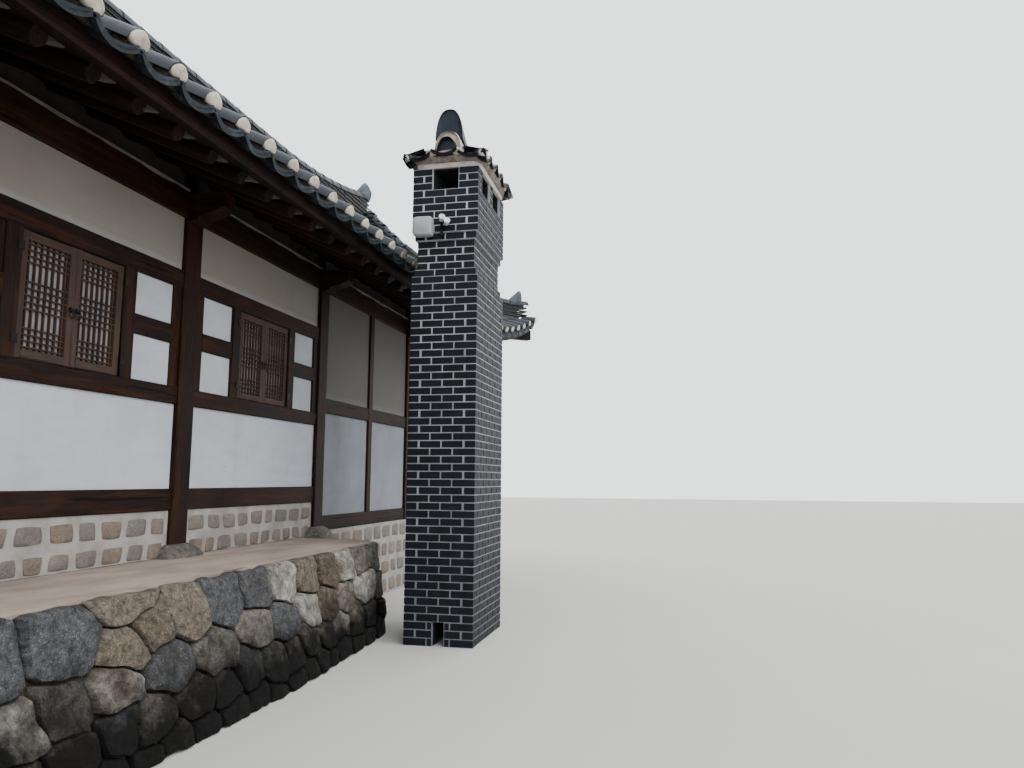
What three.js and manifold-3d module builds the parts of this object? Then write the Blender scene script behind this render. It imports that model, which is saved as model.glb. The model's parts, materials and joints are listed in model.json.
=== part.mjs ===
// A hanok: a long timber-framed house under a hip-and-gable tiled roof, on a rough stone platform,
// with its brick chimney standing free beside the front wall.
// Millimetres, +Z up. X runs along the house, the front faces -Y, and the ground is z = 0.
// Pieces are laid out from the middle of the house, and the finished group is moved so that its
// origin is the middle of the whole footprint, on the ground.
import * as THREE from 'three';
import { mergeVertices } from 'three/addons/utils/BufferGeometryUtils.js';
import Module from 'manifold-3d';

const wasm = await Module();
wasm.setup();

// Driving dimensions of the plan
const BAY = 2450;                       // about eight cheok between post centres
const WIDE_BAY = 2880;                  // the bay with a stud in its middle
const END_BAY = 1575;                   // the last one, at the far end
const DEPTH = BAY;                      // front to back, between post centres
const POST = 210;                       // posts are square
const SIT = 0.3;                        // clearance between pieces that rest on each other
const LAP = 5;                          // overlap of shapes that are joined in one solid
const THROUGH = 5000;                   // size of a cutting tool that passes right through

// Heights above the ground
const PLATFORM_TOP = 890;
const PAD = 100;                        // foundation stones under the platform's posts
const PAD_FOOT = 441;                   // their width in the platform and under the post
const PAD_HEAD = 336;
const PAD_SUNK = 20;
const PAD_SPACE = 462;                  // room left round them by the stones and floors
const PLINTH_TOP = 935;                 // top of the stone plinth beyond the platform
const NEAR_BEAM = [1254, 1423];         // lower beam of the three bays on the platform
const FAR_BEAM = [935, 1095];           // lower beam of the two bays beyond it
const SILL = [2093, 2229];
const LINTEL = [3038, 3185];
const SIDE_RAIL = [2570, 2720];         // short rails beside each window
const MID_RAIL = [2250, 2410];          // single rail of the plain bays and the end walls
const TIE = [3600, 3900];
const PLATE = [3630, 3986.5];

// Wall build-up, measured outwards from the post centre line
const PLASTER_OUT = 63;
const RAIL_OUT = 88;
const RAIL_IN = -80;
const WALL_IN = -105;
const BASE_OUT = 73;
const BASE_IN = -135;
const END_POST = 180;
const END_POST_IN = -90;
const STUD = 120;

// Windows
const LEAF_PAIR = 911;
const JAMB = 125;
const SIDE_TRIM = 100;
const LEAF_OUT = 66;
const LEAF_THICK = 38;
const LEAF_FRAME = 55;
const PAPER = 12;

// Tie-beam heads and plate heads past the posts
const HEAD = 295;
const HEAD_TOP = 3840;
const TIE_WIDTH = 200;
const PLATE_WIDTH = 180;

// Platform
const PLATFORM_NEAR = -7090;
const PLATFORM_FAR = 1160;
const PLATFORM_HALF = 2290;
const BATTER = 240;
const BATTER_FADE = -1060;              // from here the front grows steeper towards the far corner
const CORNER_BATTER = 120;
const CORNER_RADIUS = 420;
const PLINTH_MARGIN = 150;              // past the post centres
const PLINTH_START = 1680;

// Roof: the tile bed rises from the eave along a curve, and the corners lift and flare
const EAVE = 1300;                      // overhang past the post centres
const GABLE = 1750;                     // from the end eave to the gable's face
const BED = 3700;                       // height of the tile bed at the middle of an eave
const PITCH = 0.52;
const SAG = 0.075e-3;
const LIFT = 740;
const FLARE = 200;
const LIFT_REACH = 3200;
const CREST_LIFT = 340;                 // the bed also climbs towards both ends of the main ridge
const CREST_LEVEL = 0.45;               // share of the ridge that stays level in the middle
const TILE_TOP = 5;                     // tile layer, above and below the bed
const TILE_UNDER = 50;
const COVER_SPACING = 661;              // every second row of cover tiles stands up as a rib
const COVER_ROW = [156, 84];            // its width at the foot and at the crown
const COVER_CROWN = 78;                 // above the bed
const COVER_SUNK = 20;
const COVER_START = 12;                 // set back from the edge of the eave
const COVER_SHORTEST = 180;
const COVER_BENDS = [650, EAVE, GABLE, 2150];
const HIP_CLEAR = 280;                  // what a row leaves free before a hip, a gable or the main ridge
const GABLE_CLEAR = 40;
const CREST_CLEAR = 150;
const DECK_SET_BACK = 100;
const RAFTER_SLOPE = 0.45;
const RAFTER_TIP = 285;
const RAFTER_TOP = 3675;
const ROOF_DEPTH = 350;                 // bed to the underside, inside the wall line
const RAFTER_RADIUS = 60;
const RAFTER_AXIS = 47;                 // the rafters' axis below the underside that they carry
const RAFTER_SPACING = 363;
const RAFTER_END = 1420;
const FAN_CENTRE = 1200;
const FAN_SHARE = 0.42;                 // spread of the fan rafters' feet, against that of their tips
const FAN_END = 1400;
const HIP_RAFTER = [160, 200];
const HIP_RUNS = [120, 1120];           // from the corner of the eave to just outside the wall
const VERGE = 60;
const GABLE_THICK = 160;
const CLADDING = 20;
const GABLE_FOOT = 4400;
const GABLE_RUNS = [1810, 2050, 2300];
const BARGEBOARD = 300;
const UNDER_TILES = 3;                  // gap over the gable's boards

// Ridges
const RIDGE_WIDTH = 260;
const RIDGE_HEIGHT = 505;
const RIDGE_ROUND = 110;                // what the round top row of the real ridge adds
const RIDGE_UPTURN = 40;
const RIDGE_END_TILE = 385;             // foot of the end tile above the crest
const RIDGE_SUNK = 180;                 // how deep a ridge's section goes before the roof is taken away
const CORNER_RIDGE = [220, 380];
const CORNER_RIDGE_IN = 130;            // its line in from the gable's face
const CORNER_RIDGE_DOWN = [2375, 2200, 2000, 1850];
const CORNER_RIDGE_HIP = [1600, 1300, 1000, 700, 400];
const CORNER_RIDGE_TIP = 60;
const CORNER_END_TILE = 310;
const END_TILE = [300, 70, 330];

// Chimney: bricks in a 220 by 72 module
const BRICK = 220;
const COURSE = 72;
const CHIMNEY_NEAR = 412;
const CHIMNEY_BACK = -2715;
const CHIMNEY_LENGTH = 5 * BRICK;
const CHIMNEY_DEPTH = 3 * BRICK;
const CHIMNEY_HEIGHT = 63 * COURSE;
const CHIMNEY_WALL = 210;
const NECK = [49 * COURSE, 53 * COURSE];  // drawn in below the head, with a half step above and below
const NECK_INSET = 45;
const VENT_HEIGHT = 3 * COURSE;         // the vents are just under the cap
const END_VENT = 260;
const SIDE_VENT = 1.5 * BRICK;          // two in the side of the head
const SIDE_VENT_PLACE = BRICK;          // from the middle of the side
const SOOT_HOLE = [BRICK / 2, 3 * COURSE];  // at the foot of the same end
const CAP_BAND = [20, 150];
const CAP_OVERHANG = 80;
const CAP_EAVE = 45;
const CAP_EDGE = 55;                    // thickness of the little roof at its eaves
const CAP_RISE = 180;
const CAP_TOP = [0.9, 0.42];            // its top against the shaft, along and across the house
// The cap's ridge: place from the shaft's middle, height and half width, highest at the end tile
const CAP_RIDGE = [[-495, 415, 140], [-435, 415, 140], [-25, 190, 125], [475, 170, 115]];
const CAP_ARCH = [[1, 0], [1, 0.55], [0.74, 0.82], [0.4, 0.95], [0, 1]];  // half of its section

const halfDepth = DEPTH / 2;
const posts = [0, BAY, 2 * BAY, 3 * BAY, 3 * BAY + WIDE_BAY, 3 * BAY + WIDE_BAY + END_BAY];
const houseLength = posts[5];
const postX = posts.map((x) => x - houseLength / 2);
const roofHalfLength = houseLength / 2 + EAVE;
const roofHalfDepth = halfDepth + EAVE;
const gableX = roofHalfLength - GABLE;
const plinthHalf = halfDepth + PLINTH_MARGIN;
const FRONT = -1;
const BACK = 1;
const NEAR = -1;
const FAR = 1;

const timber = new THREE.MeshStandardMaterial({ color: 0x4a2a1c, roughness: 0.7 });
const windowWood = new THREE.MeshStandardMaterial({ color: 0x7d5a3c, roughness: 0.7 });
const plaster = new THREE.MeshStandardMaterial({ color: 0xdcdcd8, roughness: 0.9 });
const granite = new THREE.MeshStandardMaterial({ color: 0x8b8478, roughness: 0.9 });
const baseStone = new THREE.MeshStandardMaterial({ color: 0xb7aa94, roughness: 0.9 });
const roofTile = new THREE.MeshStandardMaterial({ color: 0x3a4046, roughness: 0.6 });
const mortar = new THREE.MeshStandardMaterial({ color: 0xcfc8bc, roughness: 0.9 });
const blackBrick = new THREE.MeshStandardMaterial({ color: 0x2f3134, roughness: 0.7 });
const clayFloor = new THREE.MeshStandardMaterial({ color: 0xb79a6a, roughness: 0.8 });

const house = new THREE.Group();

// Booleans

function solid(geometry) {
  geometry.deleteAttribute('normal');
  geometry.deleteAttribute('uv');
  const merged = mergeVertices(geometry, 1e-3);
  return new wasm.Manifold(new wasm.Mesh({
    numProp: 3,
    vertProperties: Float32Array.from(merged.attributes.position.array),
    triVerts: Uint32Array.from(merged.index.array),
  }));
}

function addPiece(name, shape, material) {
  const { vertProperties, triVerts } = shape.getMesh();
  const geometry = new THREE.BufferGeometry();
  geometry.setAttribute('position', new THREE.BufferAttribute(vertProperties, 3));
  geometry.setIndex(new THREE.BufferAttribute(triVerts, 1));
  geometry.computeVertexNormals();
  const mesh = new THREE.Mesh(geometry, material);
  mesh.name = name;
  house.add(mesh);
}

function join(shapes) {
  return shapes.reduce((whole, shape) => whole.add(shape));
}

function cut(whole, tools) {
  return tools.reduce((rest, tool) => rest.subtract(tool), whole);
}

// Shapes

function block([x0, x1], [y0, y1], [z0, z1]) {
  const box = new THREE.BoxGeometry(x1 - x0, y1 - y0, z1 - z0);
  box.translate((x0 + x1) / 2, (y0 + y1) / 2, (z0 + z1) / 2);
  return solid(box);
}

// A block beside the front or back wall: `inner` and `outer` are measured outwards from the post line.
function wallBlock(side, xRange, [inner, outer], zRange) {
  const y = [side * (halfDepth + inner), side * (halfDepth + outer)].sort((a, b) => a - b);
  return block(xRange, y, zRange);
}

// The same beside an end wall.
function endBlock(end, [inner, outer], yRange, zRange) {
  const x = [end * (houseLength / 2 + inner), end * (houseLength / 2 + outer)].sort((a, b) => a - b);
  return block(x, yRange, zRange);
}

const grow = ([low, high], by = SIT) => [low - by, high + by];
const about = (centre, width) => [centre - width / 2, centre + width / 2];

// Closed skin over two grids of points that face each other, such as a roof slope's top and bottom.
function slab(top, bottom) {
  const rows = top.length;
  const columns = top[0].length;
  const points = [...top.flat(), ...bottom.flat()];
  const at = (layer, i, j) => layer * rows * columns + i * columns + j;
  const index = [];
  const quad = (a, b, c, d) => index.push(a, b, c, a, c, d);
  for (let i = 0; i < rows - 1; i += 1) {
    for (let j = 0; j < columns - 1; j += 1) {
      quad(at(0, i, j), at(0, i + 1, j), at(0, i + 1, j + 1), at(0, i, j + 1));
      quad(at(1, i, j), at(1, i, j + 1), at(1, i + 1, j + 1), at(1, i + 1, j));
    }
  }
  for (let i = 0; i < rows - 1; i += 1) {
    quad(at(0, i, 0), at(1, i, 0), at(1, i + 1, 0), at(0, i + 1, 0));
    quad(at(0, i + 1, columns - 1), at(1, i + 1, columns - 1), at(1, i, columns - 1), at(0, i, columns - 1));
  }
  for (let j = 0; j < columns - 1; j += 1) {
    quad(at(0, 0, j + 1), at(1, 0, j + 1), at(1, 0, j), at(0, 0, j));
    quad(at(0, rows - 1, j), at(1, rows - 1, j), at(1, rows - 1, j + 1), at(0, rows - 1, j + 1));
  }
  const geometry = new THREE.BufferGeometry().setFromPoints(points);
  geometry.setIndex(signedVolume(points, index) < 0 ? index.reverse() : index);
  return solid(geometry);
}

function signedVolume(points, index) {
  let volume = 0;
  for (let i = 0; i < index.length; i += 3) {
    const [a, b, c] = [points[index[i]], points[index[i + 1]], points[index[i + 2]]];
    volume += a.dot(new THREE.Vector3().crossVectors(b, c)) / 6;
  }
  return volume;
}

// A straight bar between two points with a regular section that is flat underneath.
function bar(start, end, radius, sides) {
  const along = new THREE.Vector3().subVectors(end, start).normalize();
  const across = new THREE.Vector3().crossVectors(along, new THREE.Vector3(0, 0, 1)).normalize();
  const up = new THREE.Vector3().crossVectors(across, along);
  return loft([start, end].map((centre) => {
    const ring = [];
    for (let i = 0; i < sides; i += 1) {
      const angle = ((i + 0.5) / sides) * 2 * Math.PI + Math.PI / 2;
      ring.push(centre.clone()
        .addScaledVector(across, radius * Math.cos(angle))
        .addScaledVector(up, radius * Math.sin(angle)));
    }
    return ring;
  }));
}

// A closed solid through rings of points, its two ends capped by fans.
function loft(rings) {
  const count = rings[0].length;
  const points = rings.flat();
  const index = [];
  for (let r = 0; r < rings.length - 1; r += 1) {
    for (let i = 0; i < count; i += 1) {
      const [a, b] = [r * count + i, r * count + ((i + 1) % count)];
      index.push(a, b, b + count, a, b + count, a + count);
    }
  }
  const last = (rings.length - 1) * count;
  for (let i = 1; i < count - 1; i += 1) {
    index.push(0, i + 1, i, last, last + i, last + i + 1);
  }
  const geometry = new THREE.BufferGeometry().setFromPoints(points);
  geometry.setIndex(signedVolume(points, index) < 0 ? index.reverse() : index);
  return solid(geometry);
}

// An outline in the (y, z) plane given a thickness along X.
function plateAcross(outline, [x0, x1]) {
  const shape = new THREE.Shape(outline.map(([y, z]) => new THREE.Vector2(y, z)));
  const geometry = new THREE.ExtrudeGeometry(shape, { depth: x1 - x0, bevelEnabled: false });
  geometry.rotateX(Math.PI / 2);
  geometry.rotateZ(Math.PI / 2);
  geometry.translate(x0, 0, 0);
  return solid(geometry);
}

// Platform, plinth and stone base

// The platform's outline at a height: `down` is 0 at its top and 1 on the ground
function platformOutline(down) {
  const half = PLATFORM_HALF + down * BATTER;
  const front = [[PLATFORM_NEAR - down * BATTER, -half], [BATTER_FADE, -half]];
  const centre = [PLATFORM_FAR - CORNER_RADIUS, -PLATFORM_HALF - down * CORNER_BATTER + CORNER_RADIUS];
  for (let i = 0; i <= 4; i += 1) {
    const angle = (i / 4) * (Math.PI / 2);
    front.push([centre[0] + CORNER_RADIUS * Math.sin(angle), centre[1] - CORNER_RADIUS * Math.cos(angle)]);
  }
  front.push([PLATFORM_FAR, -plinthHalf], [PLINTH_START - SIT, -plinthHalf]);
  const back = front.map(([x, y]) => [x, -y]).reverse();
  return [...front, ...back];
}

function platform() {
  const ring = (down, z) => platformOutline(down).map(([x, y]) => new THREE.Vector3(x, y, z));
  const faces = THREE.ShapeUtils.triangulateShape(
    platformOutline(0).map(([x, y]) => new THREE.Vector2(x, y)), []);
  const points = [...ring(1, 0), ...ring(0, PLATFORM_TOP)];
  const count = points.length / 2;
  const index = [];
  for (const [a, b, c] of faces) {
    index.push(a + count, b + count, c + count, c, b, a);
  }
  for (let i = 0; i < count; i += 1) {
    const next = (i + 1) % count;
    index.push(i, next, next + count, i, next + count, i + count);
  }
  const geometry = new THREE.BufferGeometry().setFromPoints(points);
  geometry.setIndex(signedVolume(points, index) < 0 ? index.reverse() : index);
  return solid(geometry);
}

function pads() {
  const places = postX.slice(0, 4).flatMap((x) => [[x, -halfDepth], [x, halfDepth]]);
  return places.map(([x, y]) => {
    const ring = (half, z) => [[-1, -1], [1, -1], [1, 1], [-1, 1]]
      .map(([i, j]) => new THREE.Vector3(x + i * half, y + j * half, z));
    return loft([ring(PAD_FOOT / 2, PLATFORM_TOP - PAD_SUNK), ring(PAD_HEAD / 2, PLATFORM_TOP + PAD)]);
  });
}

function padSpaces() {
  return postX.slice(0, 4).flatMap((x) => [FRONT, BACK].map((side) => {
    const y = side * halfDepth;
    return block(about(x, PAD_SPACE), about(y, PAD_SPACE), [PLATFORM_TOP - PAD, PLATFORM_TOP + PAD + SIT]);
  }));
}

function postSpaces(tops, xs = postX) {
  return xs.flatMap((x) => [FRONT, BACK].map((side) => (
    block(grow(about(x, POST)), grow(about(side * halfDepth, POST)), tops)
  )));
}

function stoneBase() {
  const zRange = [PLATFORM_TOP + SIT, NEAR_BEAM[0] - SIT];
  const xRange = [postX[0] - BASE_OUT, postX[3] - POST / 2 - SIT];
  const walls = [
    wallBlock(FRONT, xRange, [BASE_IN, BASE_OUT], zRange),
    wallBlock(BACK, xRange, [BASE_IN, BASE_OUT], zRange),
    endBlock(NEAR, [BASE_IN, BASE_OUT], [-halfDepth, halfDepth], zRange),
  ];
  return cut(join(walls), [...postSpaces([0, THROUGH], postX.slice(0, 4)), ...padSpaces()]);
}

// Timber frame

const railHeights = { near: [NEAR_BEAM, SILL, LINTEL], far: [FAR_BEAM, MID_RAIL] };

function mortises(k) {
  const spaces = [];
  for (const side of [FRONT, BACK]) {
    const through = (xRange, zRange) => {
      spaces.push(wallBlock(side, xRange, grow([RAIL_IN, RAIL_OUT]), grow(zRange)));
    };
    const crossing = [postX[k] - POST, postX[k] + POST];
    if (k === 1 || k === 2) railHeights.near.forEach((z) => through(crossing, z));
    if (k === 4) railHeights.far.forEach((z) => through(crossing, z));
  }
  return spaces;
}

function postFrame(k) {
  const foot = (k < 4 ? PLATFORM_TOP + PAD : PLINTH_TOP) + SIT;
  const pieces = [FRONT, BACK].map((side) => (
    wallBlock(side, about(postX[k], POST), [-POST / 2, POST / 2], [foot, (TIE[0] + PLATE[0]) / 2])
  ));
  const overPosts = halfDepth + POST / 2;
  const headTips = overPosts + HEAD;
  pieces.push(block(about(postX[k], TIE_WIDTH), [-overPosts, overPosts], TIE));
  pieces.push(block(about(postX[k], TIE_WIDTH), [-headTips, headTips], [TIE[0], HEAD_TOP]));
  if (k === 0 || k === 5) {
    const inner = halfDepth - PLATE_WIDTH / 2 - SIT;
    pieces.push(block(about(postX[k], PLATE_WIDTH), [-inner, inner], [TIE[1] - LAP, PLATE[1]]));
    const headX = [postX[k], Math.sign(postX[k]) * (houseLength / 2 + POST / 2 + HEAD)].sort((a, b) => a - b);
    for (const side of [FRONT, BACK]) {
      pieces.push(wallBlock(side, headX, [-PLATE_WIDTH / 2, PLATE_WIDTH / 2], [PLATE[0], HEAD_TOP]));
    }
  }
  return cut(join(pieces), mortises(k));
}

function wallPlate(side) {
  const plateEnd = (houseLength + PLATE_WIDTH) / 2;
  const plate = wallBlock(side, [-plateEnd, plateEnd], [-PLATE_WIDTH / 2, PLATE_WIDTH / 2], PLATE);
  const crossings = postX.map((x) => (
    wallBlock(side, grow(about(x, TIE_WIDTH)), [-PLATE_WIDTH, PLATE_WIDTH], [TIE[0], TIE[1] + SIT])
  ));
  return cut(plate, crossings);
}

// Clear length of a run of bays, between the faces of its end posts.
const clear = (from, to) => [postX[from] + POST / 2 + SIT, postX[to] - POST / 2 - SIT];
const railDepth = [RAIL_IN, RAIL_OUT];

function windowTimbers(side, bay) {
  const middle = (postX[bay] + postX[bay + 1]) / 2;
  const [left, right] = clear(bay, bay + 1);
  const between = [SILL[1] - LAP, LINTEL[0] + LAP];
  const jambIn = LEAF_PAIR / 2 + SIT;
  return [NEAR, FAR].flatMap((hand) => {
    const span = (a, b) => [middle + hand * a, middle + hand * b].sort((p, q) => p - q);
    const edge = hand === NEAR ? middle - left : right - middle;
    return [
      wallBlock(side, span(jambIn, jambIn + JAMB), railDepth, between),
      wallBlock(side, span(edge - SIDE_TRIM, edge), railDepth, between),
      wallBlock(side, span(jambIn + JAMB - LAP, edge - SIDE_TRIM + LAP), railDepth, SIDE_RAIL),
    ];
  });
}

function nearRails(side) {
  const runs = [SILL, LINTEL].map((z) => wallBlock(side, clear(0, 3), railDepth, z));
  const windows = [0, 1, 2].flatMap((bay) => windowTimbers(side, bay));
  return join([...runs, ...windows]);
}

function farRails(side) {
  const stud = about((postX[3] + postX[4]) / 2, STUD);
  return join([
    wallBlock(side, clear(3, 5), railDepth, MID_RAIL),
    wallBlock(side, stud, railDepth, [FAR_BEAM[1] + SIT, PLATE[0] - SIT]),
  ]);
}

function endFrame(end) {
  const lower = end === NEAR ? NEAR_BEAM : FAR_BEAM;
  const inside = halfDepth - POST / 2 - SIT;
  return join([
    endBlock(end, railDepth, [-inside, inside], lower),
    endBlock(end, railDepth, [-inside, inside], MID_RAIL),
    endBlock(end, [END_POST_IN, POST / 2], about(0, END_POST), [lower[0], TIE[0] - SIT]),
  ]);
}

// Plaster walls, cut round the timbers that cross them

function bayWall(side, bay, timbers) {
  const lower = bay < 3 ? NEAR_BEAM : FAR_BEAM;
  const body = wallBlock(side, clear(bay, bay + 1), [WALL_IN, PLASTER_OUT], [lower[1] + SIT, PLATE[0] - SIT]);
  const middle = (postX[bay] + postX[bay + 1]) / 2;
  const channel = (xRange, zRange) => wallBlock(side, grow(xRange), grow([RAIL_IN, THROUGH]), grow(zRange));
  const across = [postX[bay], postX[bay + 1]];
  if (bay > 2) {
    const channels = [channel(across, MID_RAIL)];
    if (bay === 3) channels.push(channel(about(middle, STUD), [0, THROUGH]));
    return cut(body, channels);
  }
  const jambOut = LEAF_PAIR / 2 + JAMB + SIT;
  const half = (postX[bay + 1] - postX[bay] - POST) / 2;
  const hands = [NEAR, FAR].flatMap((hand) => {
    const span = (a, b) => [middle + hand * a, middle + hand * b].sort((p, q) => p - q);
    return [
      channel(span(LEAF_PAIR / 2, jambOut), [SILL[0], LINTEL[1]]),
      channel(span(half - SIDE_TRIM - SIT, half + POST), [SILL[0], LINTEL[1]]),
      channel(span(jambOut - LAP, half), SIDE_RAIL),
    ];
  });
  const hole = wallBlock(side, about(middle, LEAF_PAIR + 2 * SIT), [-POST, POST],
    [SILL[1] - LAP, LINTEL[0] + LAP]);
  return cut(body, [channel(across, SILL), channel(across, LINTEL), ...hands, hole]);
}

function endWall(end) {
  const lower = end === NEAR ? NEAR_BEAM : FAR_BEAM;
  const inside = halfDepth - POST / 2 - SIT;
  const body = endBlock(end, [WALL_IN, PLASTER_OUT], [-inside, inside], [lower[1] + SIT, TIE[0] - SIT]);
  return cut(body, [
    endBlock(end, grow([RAIL_IN, THROUGH]), [-halfDepth, halfDepth], grow(MID_RAIL)),
    endBlock(end, grow([END_POST_IN, THROUGH]), grow(about(0, END_POST)), [0, THROUGH]),
  ]);
}

// A pair of lattice leaves behind their frames, backed by paper
function windowPair(side, bay) {
  const middle = (postX[bay] + postX[bay + 1]) / 2;
  const zRange = [SILL[1] + SIT, LINTEL[0] - SIT];
  const depth = [LEAF_OUT - LEAF_THICK, LEAF_OUT];
  const pieces = [wallBlock(side, about(middle, LEAF_PAIR), [depth[0], depth[0] + PAPER], zRange)];
  const uprights = [-LEAF_PAIR / 2, -LEAF_FRAME, 0, LEAF_PAIR / 2 - LEAF_FRAME];
  for (const start of uprights) {
    pieces.push(wallBlock(side, [middle + start, middle + start + LEAF_FRAME], depth, zRange));
  }
  const crossRails = [zRange[0], zRange[1] - LEAF_FRAME];
  for (const start of crossRails) {
    pieces.push(wallBlock(side, about(middle, LEAF_PAIR), depth, [start, start + LEAF_FRAME]));
  }
  return join(pieces);
}

// Roof surfaces: `run` is the distance in from the eave of the slope, `aside` from the other eave,
// and `out` the distance along the house from its middle

const reach = (t) => Math.max(0, 1 - t / LIFT_REACH) ** 2;
const bedHeight = (run) => BED + PITCH * run + SAG * run * run;
const cornerLift = (run, aside) => LIFT * reach(run) * reach(aside);
const cornerFlare = (run, aside) => FLARE * reach(run) * reach(aside);
const underHeight = (run) => (
  run < EAVE ? RAFTER_TOP + RAFTER_SLOPE * (run - RAFTER_TIP) : bedHeight(run) - ROOF_DEPTH
);

// How much higher the bed lies near the gables than over the middle of the house.
function crestLift(run, out) {
  const climb = Math.min(1, Math.max(0, out / gableX - CREST_LEVEL) / (1 - CREST_LEVEL));
  return CREST_LIFT * (run / roofHalfDepth) * climb ** 2;
}

// A point of a long slope (front or back) at x along the house and `run` in from its eave.
function longPoint(side, x, run, height) {
  const aside = roofHalfLength - Math.abs(x);
  const flare = cornerFlare(run, aside);
  return new THREE.Vector3(
    x + Math.sign(x) * flare,
    side * (roofHalfDepth - run + flare),
    height(run, Math.abs(x)) + cornerLift(run, aside));
}

// A point of an end slope at y across the house and `run` in from its eave.
function endPoint(end, y, run, height) {
  const aside = roofHalfDepth - Math.abs(y);
  const flare = cornerFlare(run, aside);
  return new THREE.Vector3(
    end * (roofHalfLength - run + flare),
    y + Math.sign(y) * flare,
    height(run, roofHalfLength - run) + cornerLift(run, aside));
}

const longRuns = [0, 300, 650, EAVE, GABLE, 2150, roofHalfDepth - SIT];
const endRuns = [0, 300, 650, EAVE, GABLE - 2 * SIT];
const longSteps = [-1, -0.9, -0.8, -0.65, -0.5, 0.5, 0.65, 0.8, 0.9, 1];
const endSteps = [-1, -0.7, -0.4, 0, 0.4, 0.7, 1];

function longGrid(side, height, spread = 0, runs = longRuns) {
  return runs.map((run) => longSteps.map((step) => (
    longPoint(side, step * (roofHalfLength - Math.min(run, GABLE) + spread), run, height)
  )));
}

function endGrid(end, height, spread = -2 * SIT) {
  return endRuns.map((run) => endSteps.map((step) => (
    endPoint(end, step * (roofHalfDepth - run + spread), run, height)
  )));
}

// The first row of a grid moved in from the eave, along the straight line to the second.
function setBack(grid, by) {
  const share = by / longRuns[1];
  const first = grid[0].map((point, j) => point.clone().lerp(grid[1][j], share));
  return [first, ...grid.slice(1)];
}

const onBed = (offset) => (run, out) => bedHeight(run) + crestLift(run, out) + offset;
const layer = (grid) => slab(grid(onBed(TILE_TOP)), grid(onBed(-TILE_UNDER)));
const deckLayer = (grid) => slab(
  setBack(grid(onBed(-TILE_UNDER - SIT)), DECK_SET_BACK),
  setBack(grid(underHeight), DECK_SET_BACK));

// A row of cover tiles up a slope, from its eave to `end`
function coverRow(point, place, end) {
  const runs = [COVER_START, ...COVER_BENDS.filter((run) => run < end - COVER_SHORTEST), end];
  const [foot, crown] = COVER_ROW;
  const section = [[-foot / 2, -COVER_SUNK], [foot / 2, -COVER_SUNK], [crown / 2, COVER_CROWN],
    [-crown / 2, COVER_CROWN]];
  return loft(runs.map((run) => section.map(([aside, up]) => point(place + aside, run, onBed(up)))));
}

// The tile layer of a slope with its rows, as far up as `limit` says at each place
function tiles(grid, point, halfRun, limit) {
  const last = Math.floor((halfRun - HIP_CLEAR) / COVER_SPACING);
  const rows = [];
  for (let k = -last; k <= last; k += 1) {
    const place = k * COVER_SPACING;
    const end = Math.min(limit(place), halfRun - Math.abs(place) - HIP_CLEAR);
    if (end > COVER_START + COVER_SHORTEST) rows.push(coverRow(point, place, end));
  }
  const under = slab(grid(onBed(-TILE_UNDER)), grid(onBed(-TILE_UNDER - COVER_CROWN)));
  return join([layer(grid), ...rows.map((row) => row.subtract(under))]);
}

const longTiles = (side) => tiles(
  (height) => longGrid(side, height), (x, run, height) => longPoint(side, x, run, height), roofHalfLength,
  () => roofHalfDepth - CREST_CLEAR);
const endTiles = (end) => tiles(
  (height) => endGrid(end, height), (y, run, height) => endPoint(end, y, run, height), roofHalfDepth,
  () => GABLE - GABLE_CLEAR);

// All that lies over a deck, to trim the rafters that a lifted corner would let through.
const overDeck = (grid) => slab(grid(onBed(500)), grid(onBed(-TILE_UNDER - SIT)));

// Parallel rafters, and a fan of them at each corner of the slope
function rafters(point, halfRun) {
  const axis = (run) => RAFTER_TOP + RAFTER_SLOPE * (run - RAFTER_TIP) - RAFTER_AXIS;
  const fanStart = halfRun - EAVE - FAN_CENTRE;
  const count = Math.max(1, Math.floor((2 * fanStart) / RAFTER_SPACING));
  const bars = [];
  for (let i = 0; i < count; i += 1) {
    const place = (i - (count - 1) / 2) * RAFTER_SPACING;
    bars.push(bar(point(place, RAFTER_TIP, axis), point(place, RAFTER_END, axis), RAFTER_RADIUS, 6));
  }
  const fan = Math.round((halfRun - RAFTER_TIP - fanStart) / RAFTER_SPACING) - 1;
  for (let i = 0; i < fan; i += 1) {
    const tip = fanStart + (i + 0.5) * RAFTER_SPACING;
    const foot = fanStart + (tip - fanStart) * FAN_SHARE;
    for (const hand of [-1, 1]) {
      bars.push(bar(point(hand * tip, RAFTER_TIP, axis), point(hand * foot, FAN_END, axis), RAFTER_RADIUS, 6));
    }
  }
  return bars;
}

// The beam under a hip; `spare` grows it into the housing that the end deck leaves for it.
function hipRafter(side, end, spare = 0) {
  const [width, height] = HIP_RAFTER;
  const ends = HIP_RUNS.map((run) => longPoint(side, end * (roofHalfLength - run), run, underHeight));
  const along = new THREE.Vector3().subVectors(ends[1], ends[0]).setZ(0).normalize();
  const across = new THREE.Vector3(-along.y, along.x, 0);
  return loft(ends.map((top, i) => [[-1, 0], [1, 0], [1, -1], [-1, -1]].map(([sideways, down]) => (
    top.clone()
      .addScaledVector(along, i === 0 ? -spare : spare)
      .addScaledVector(across, sideways * (width / 2 + spare))
      .add(new THREE.Vector3(0, 0, down * (height + spare) + (down + 1) * 2 * spare))
  ))));
}

function longDeck(side) {
  const grid = (height) => longGrid(side, height);
  const slope = deckLayer(grid);
  const point = (x, run, height) => longPoint(side, x, run, height);
  const hips = [NEAR, FAR].map((end) => hipRafter(side, end));
  const whole = join([slope, ...rafters(point, roofHalfLength), ...hips]);
  const gableSlots = [NEAR, FAR].map((end) => block(
    [end * (gableX - VERGE - SIT), end * (gableX + GABLE)].sort((a, b) => a - b),
    about(0, 2 * (roofHalfDepth - GABLE) - 2), [BED, BED + THROUGH]));
  return cut(whole, [...gableSlots, overDeck(grid)]);
}

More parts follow.
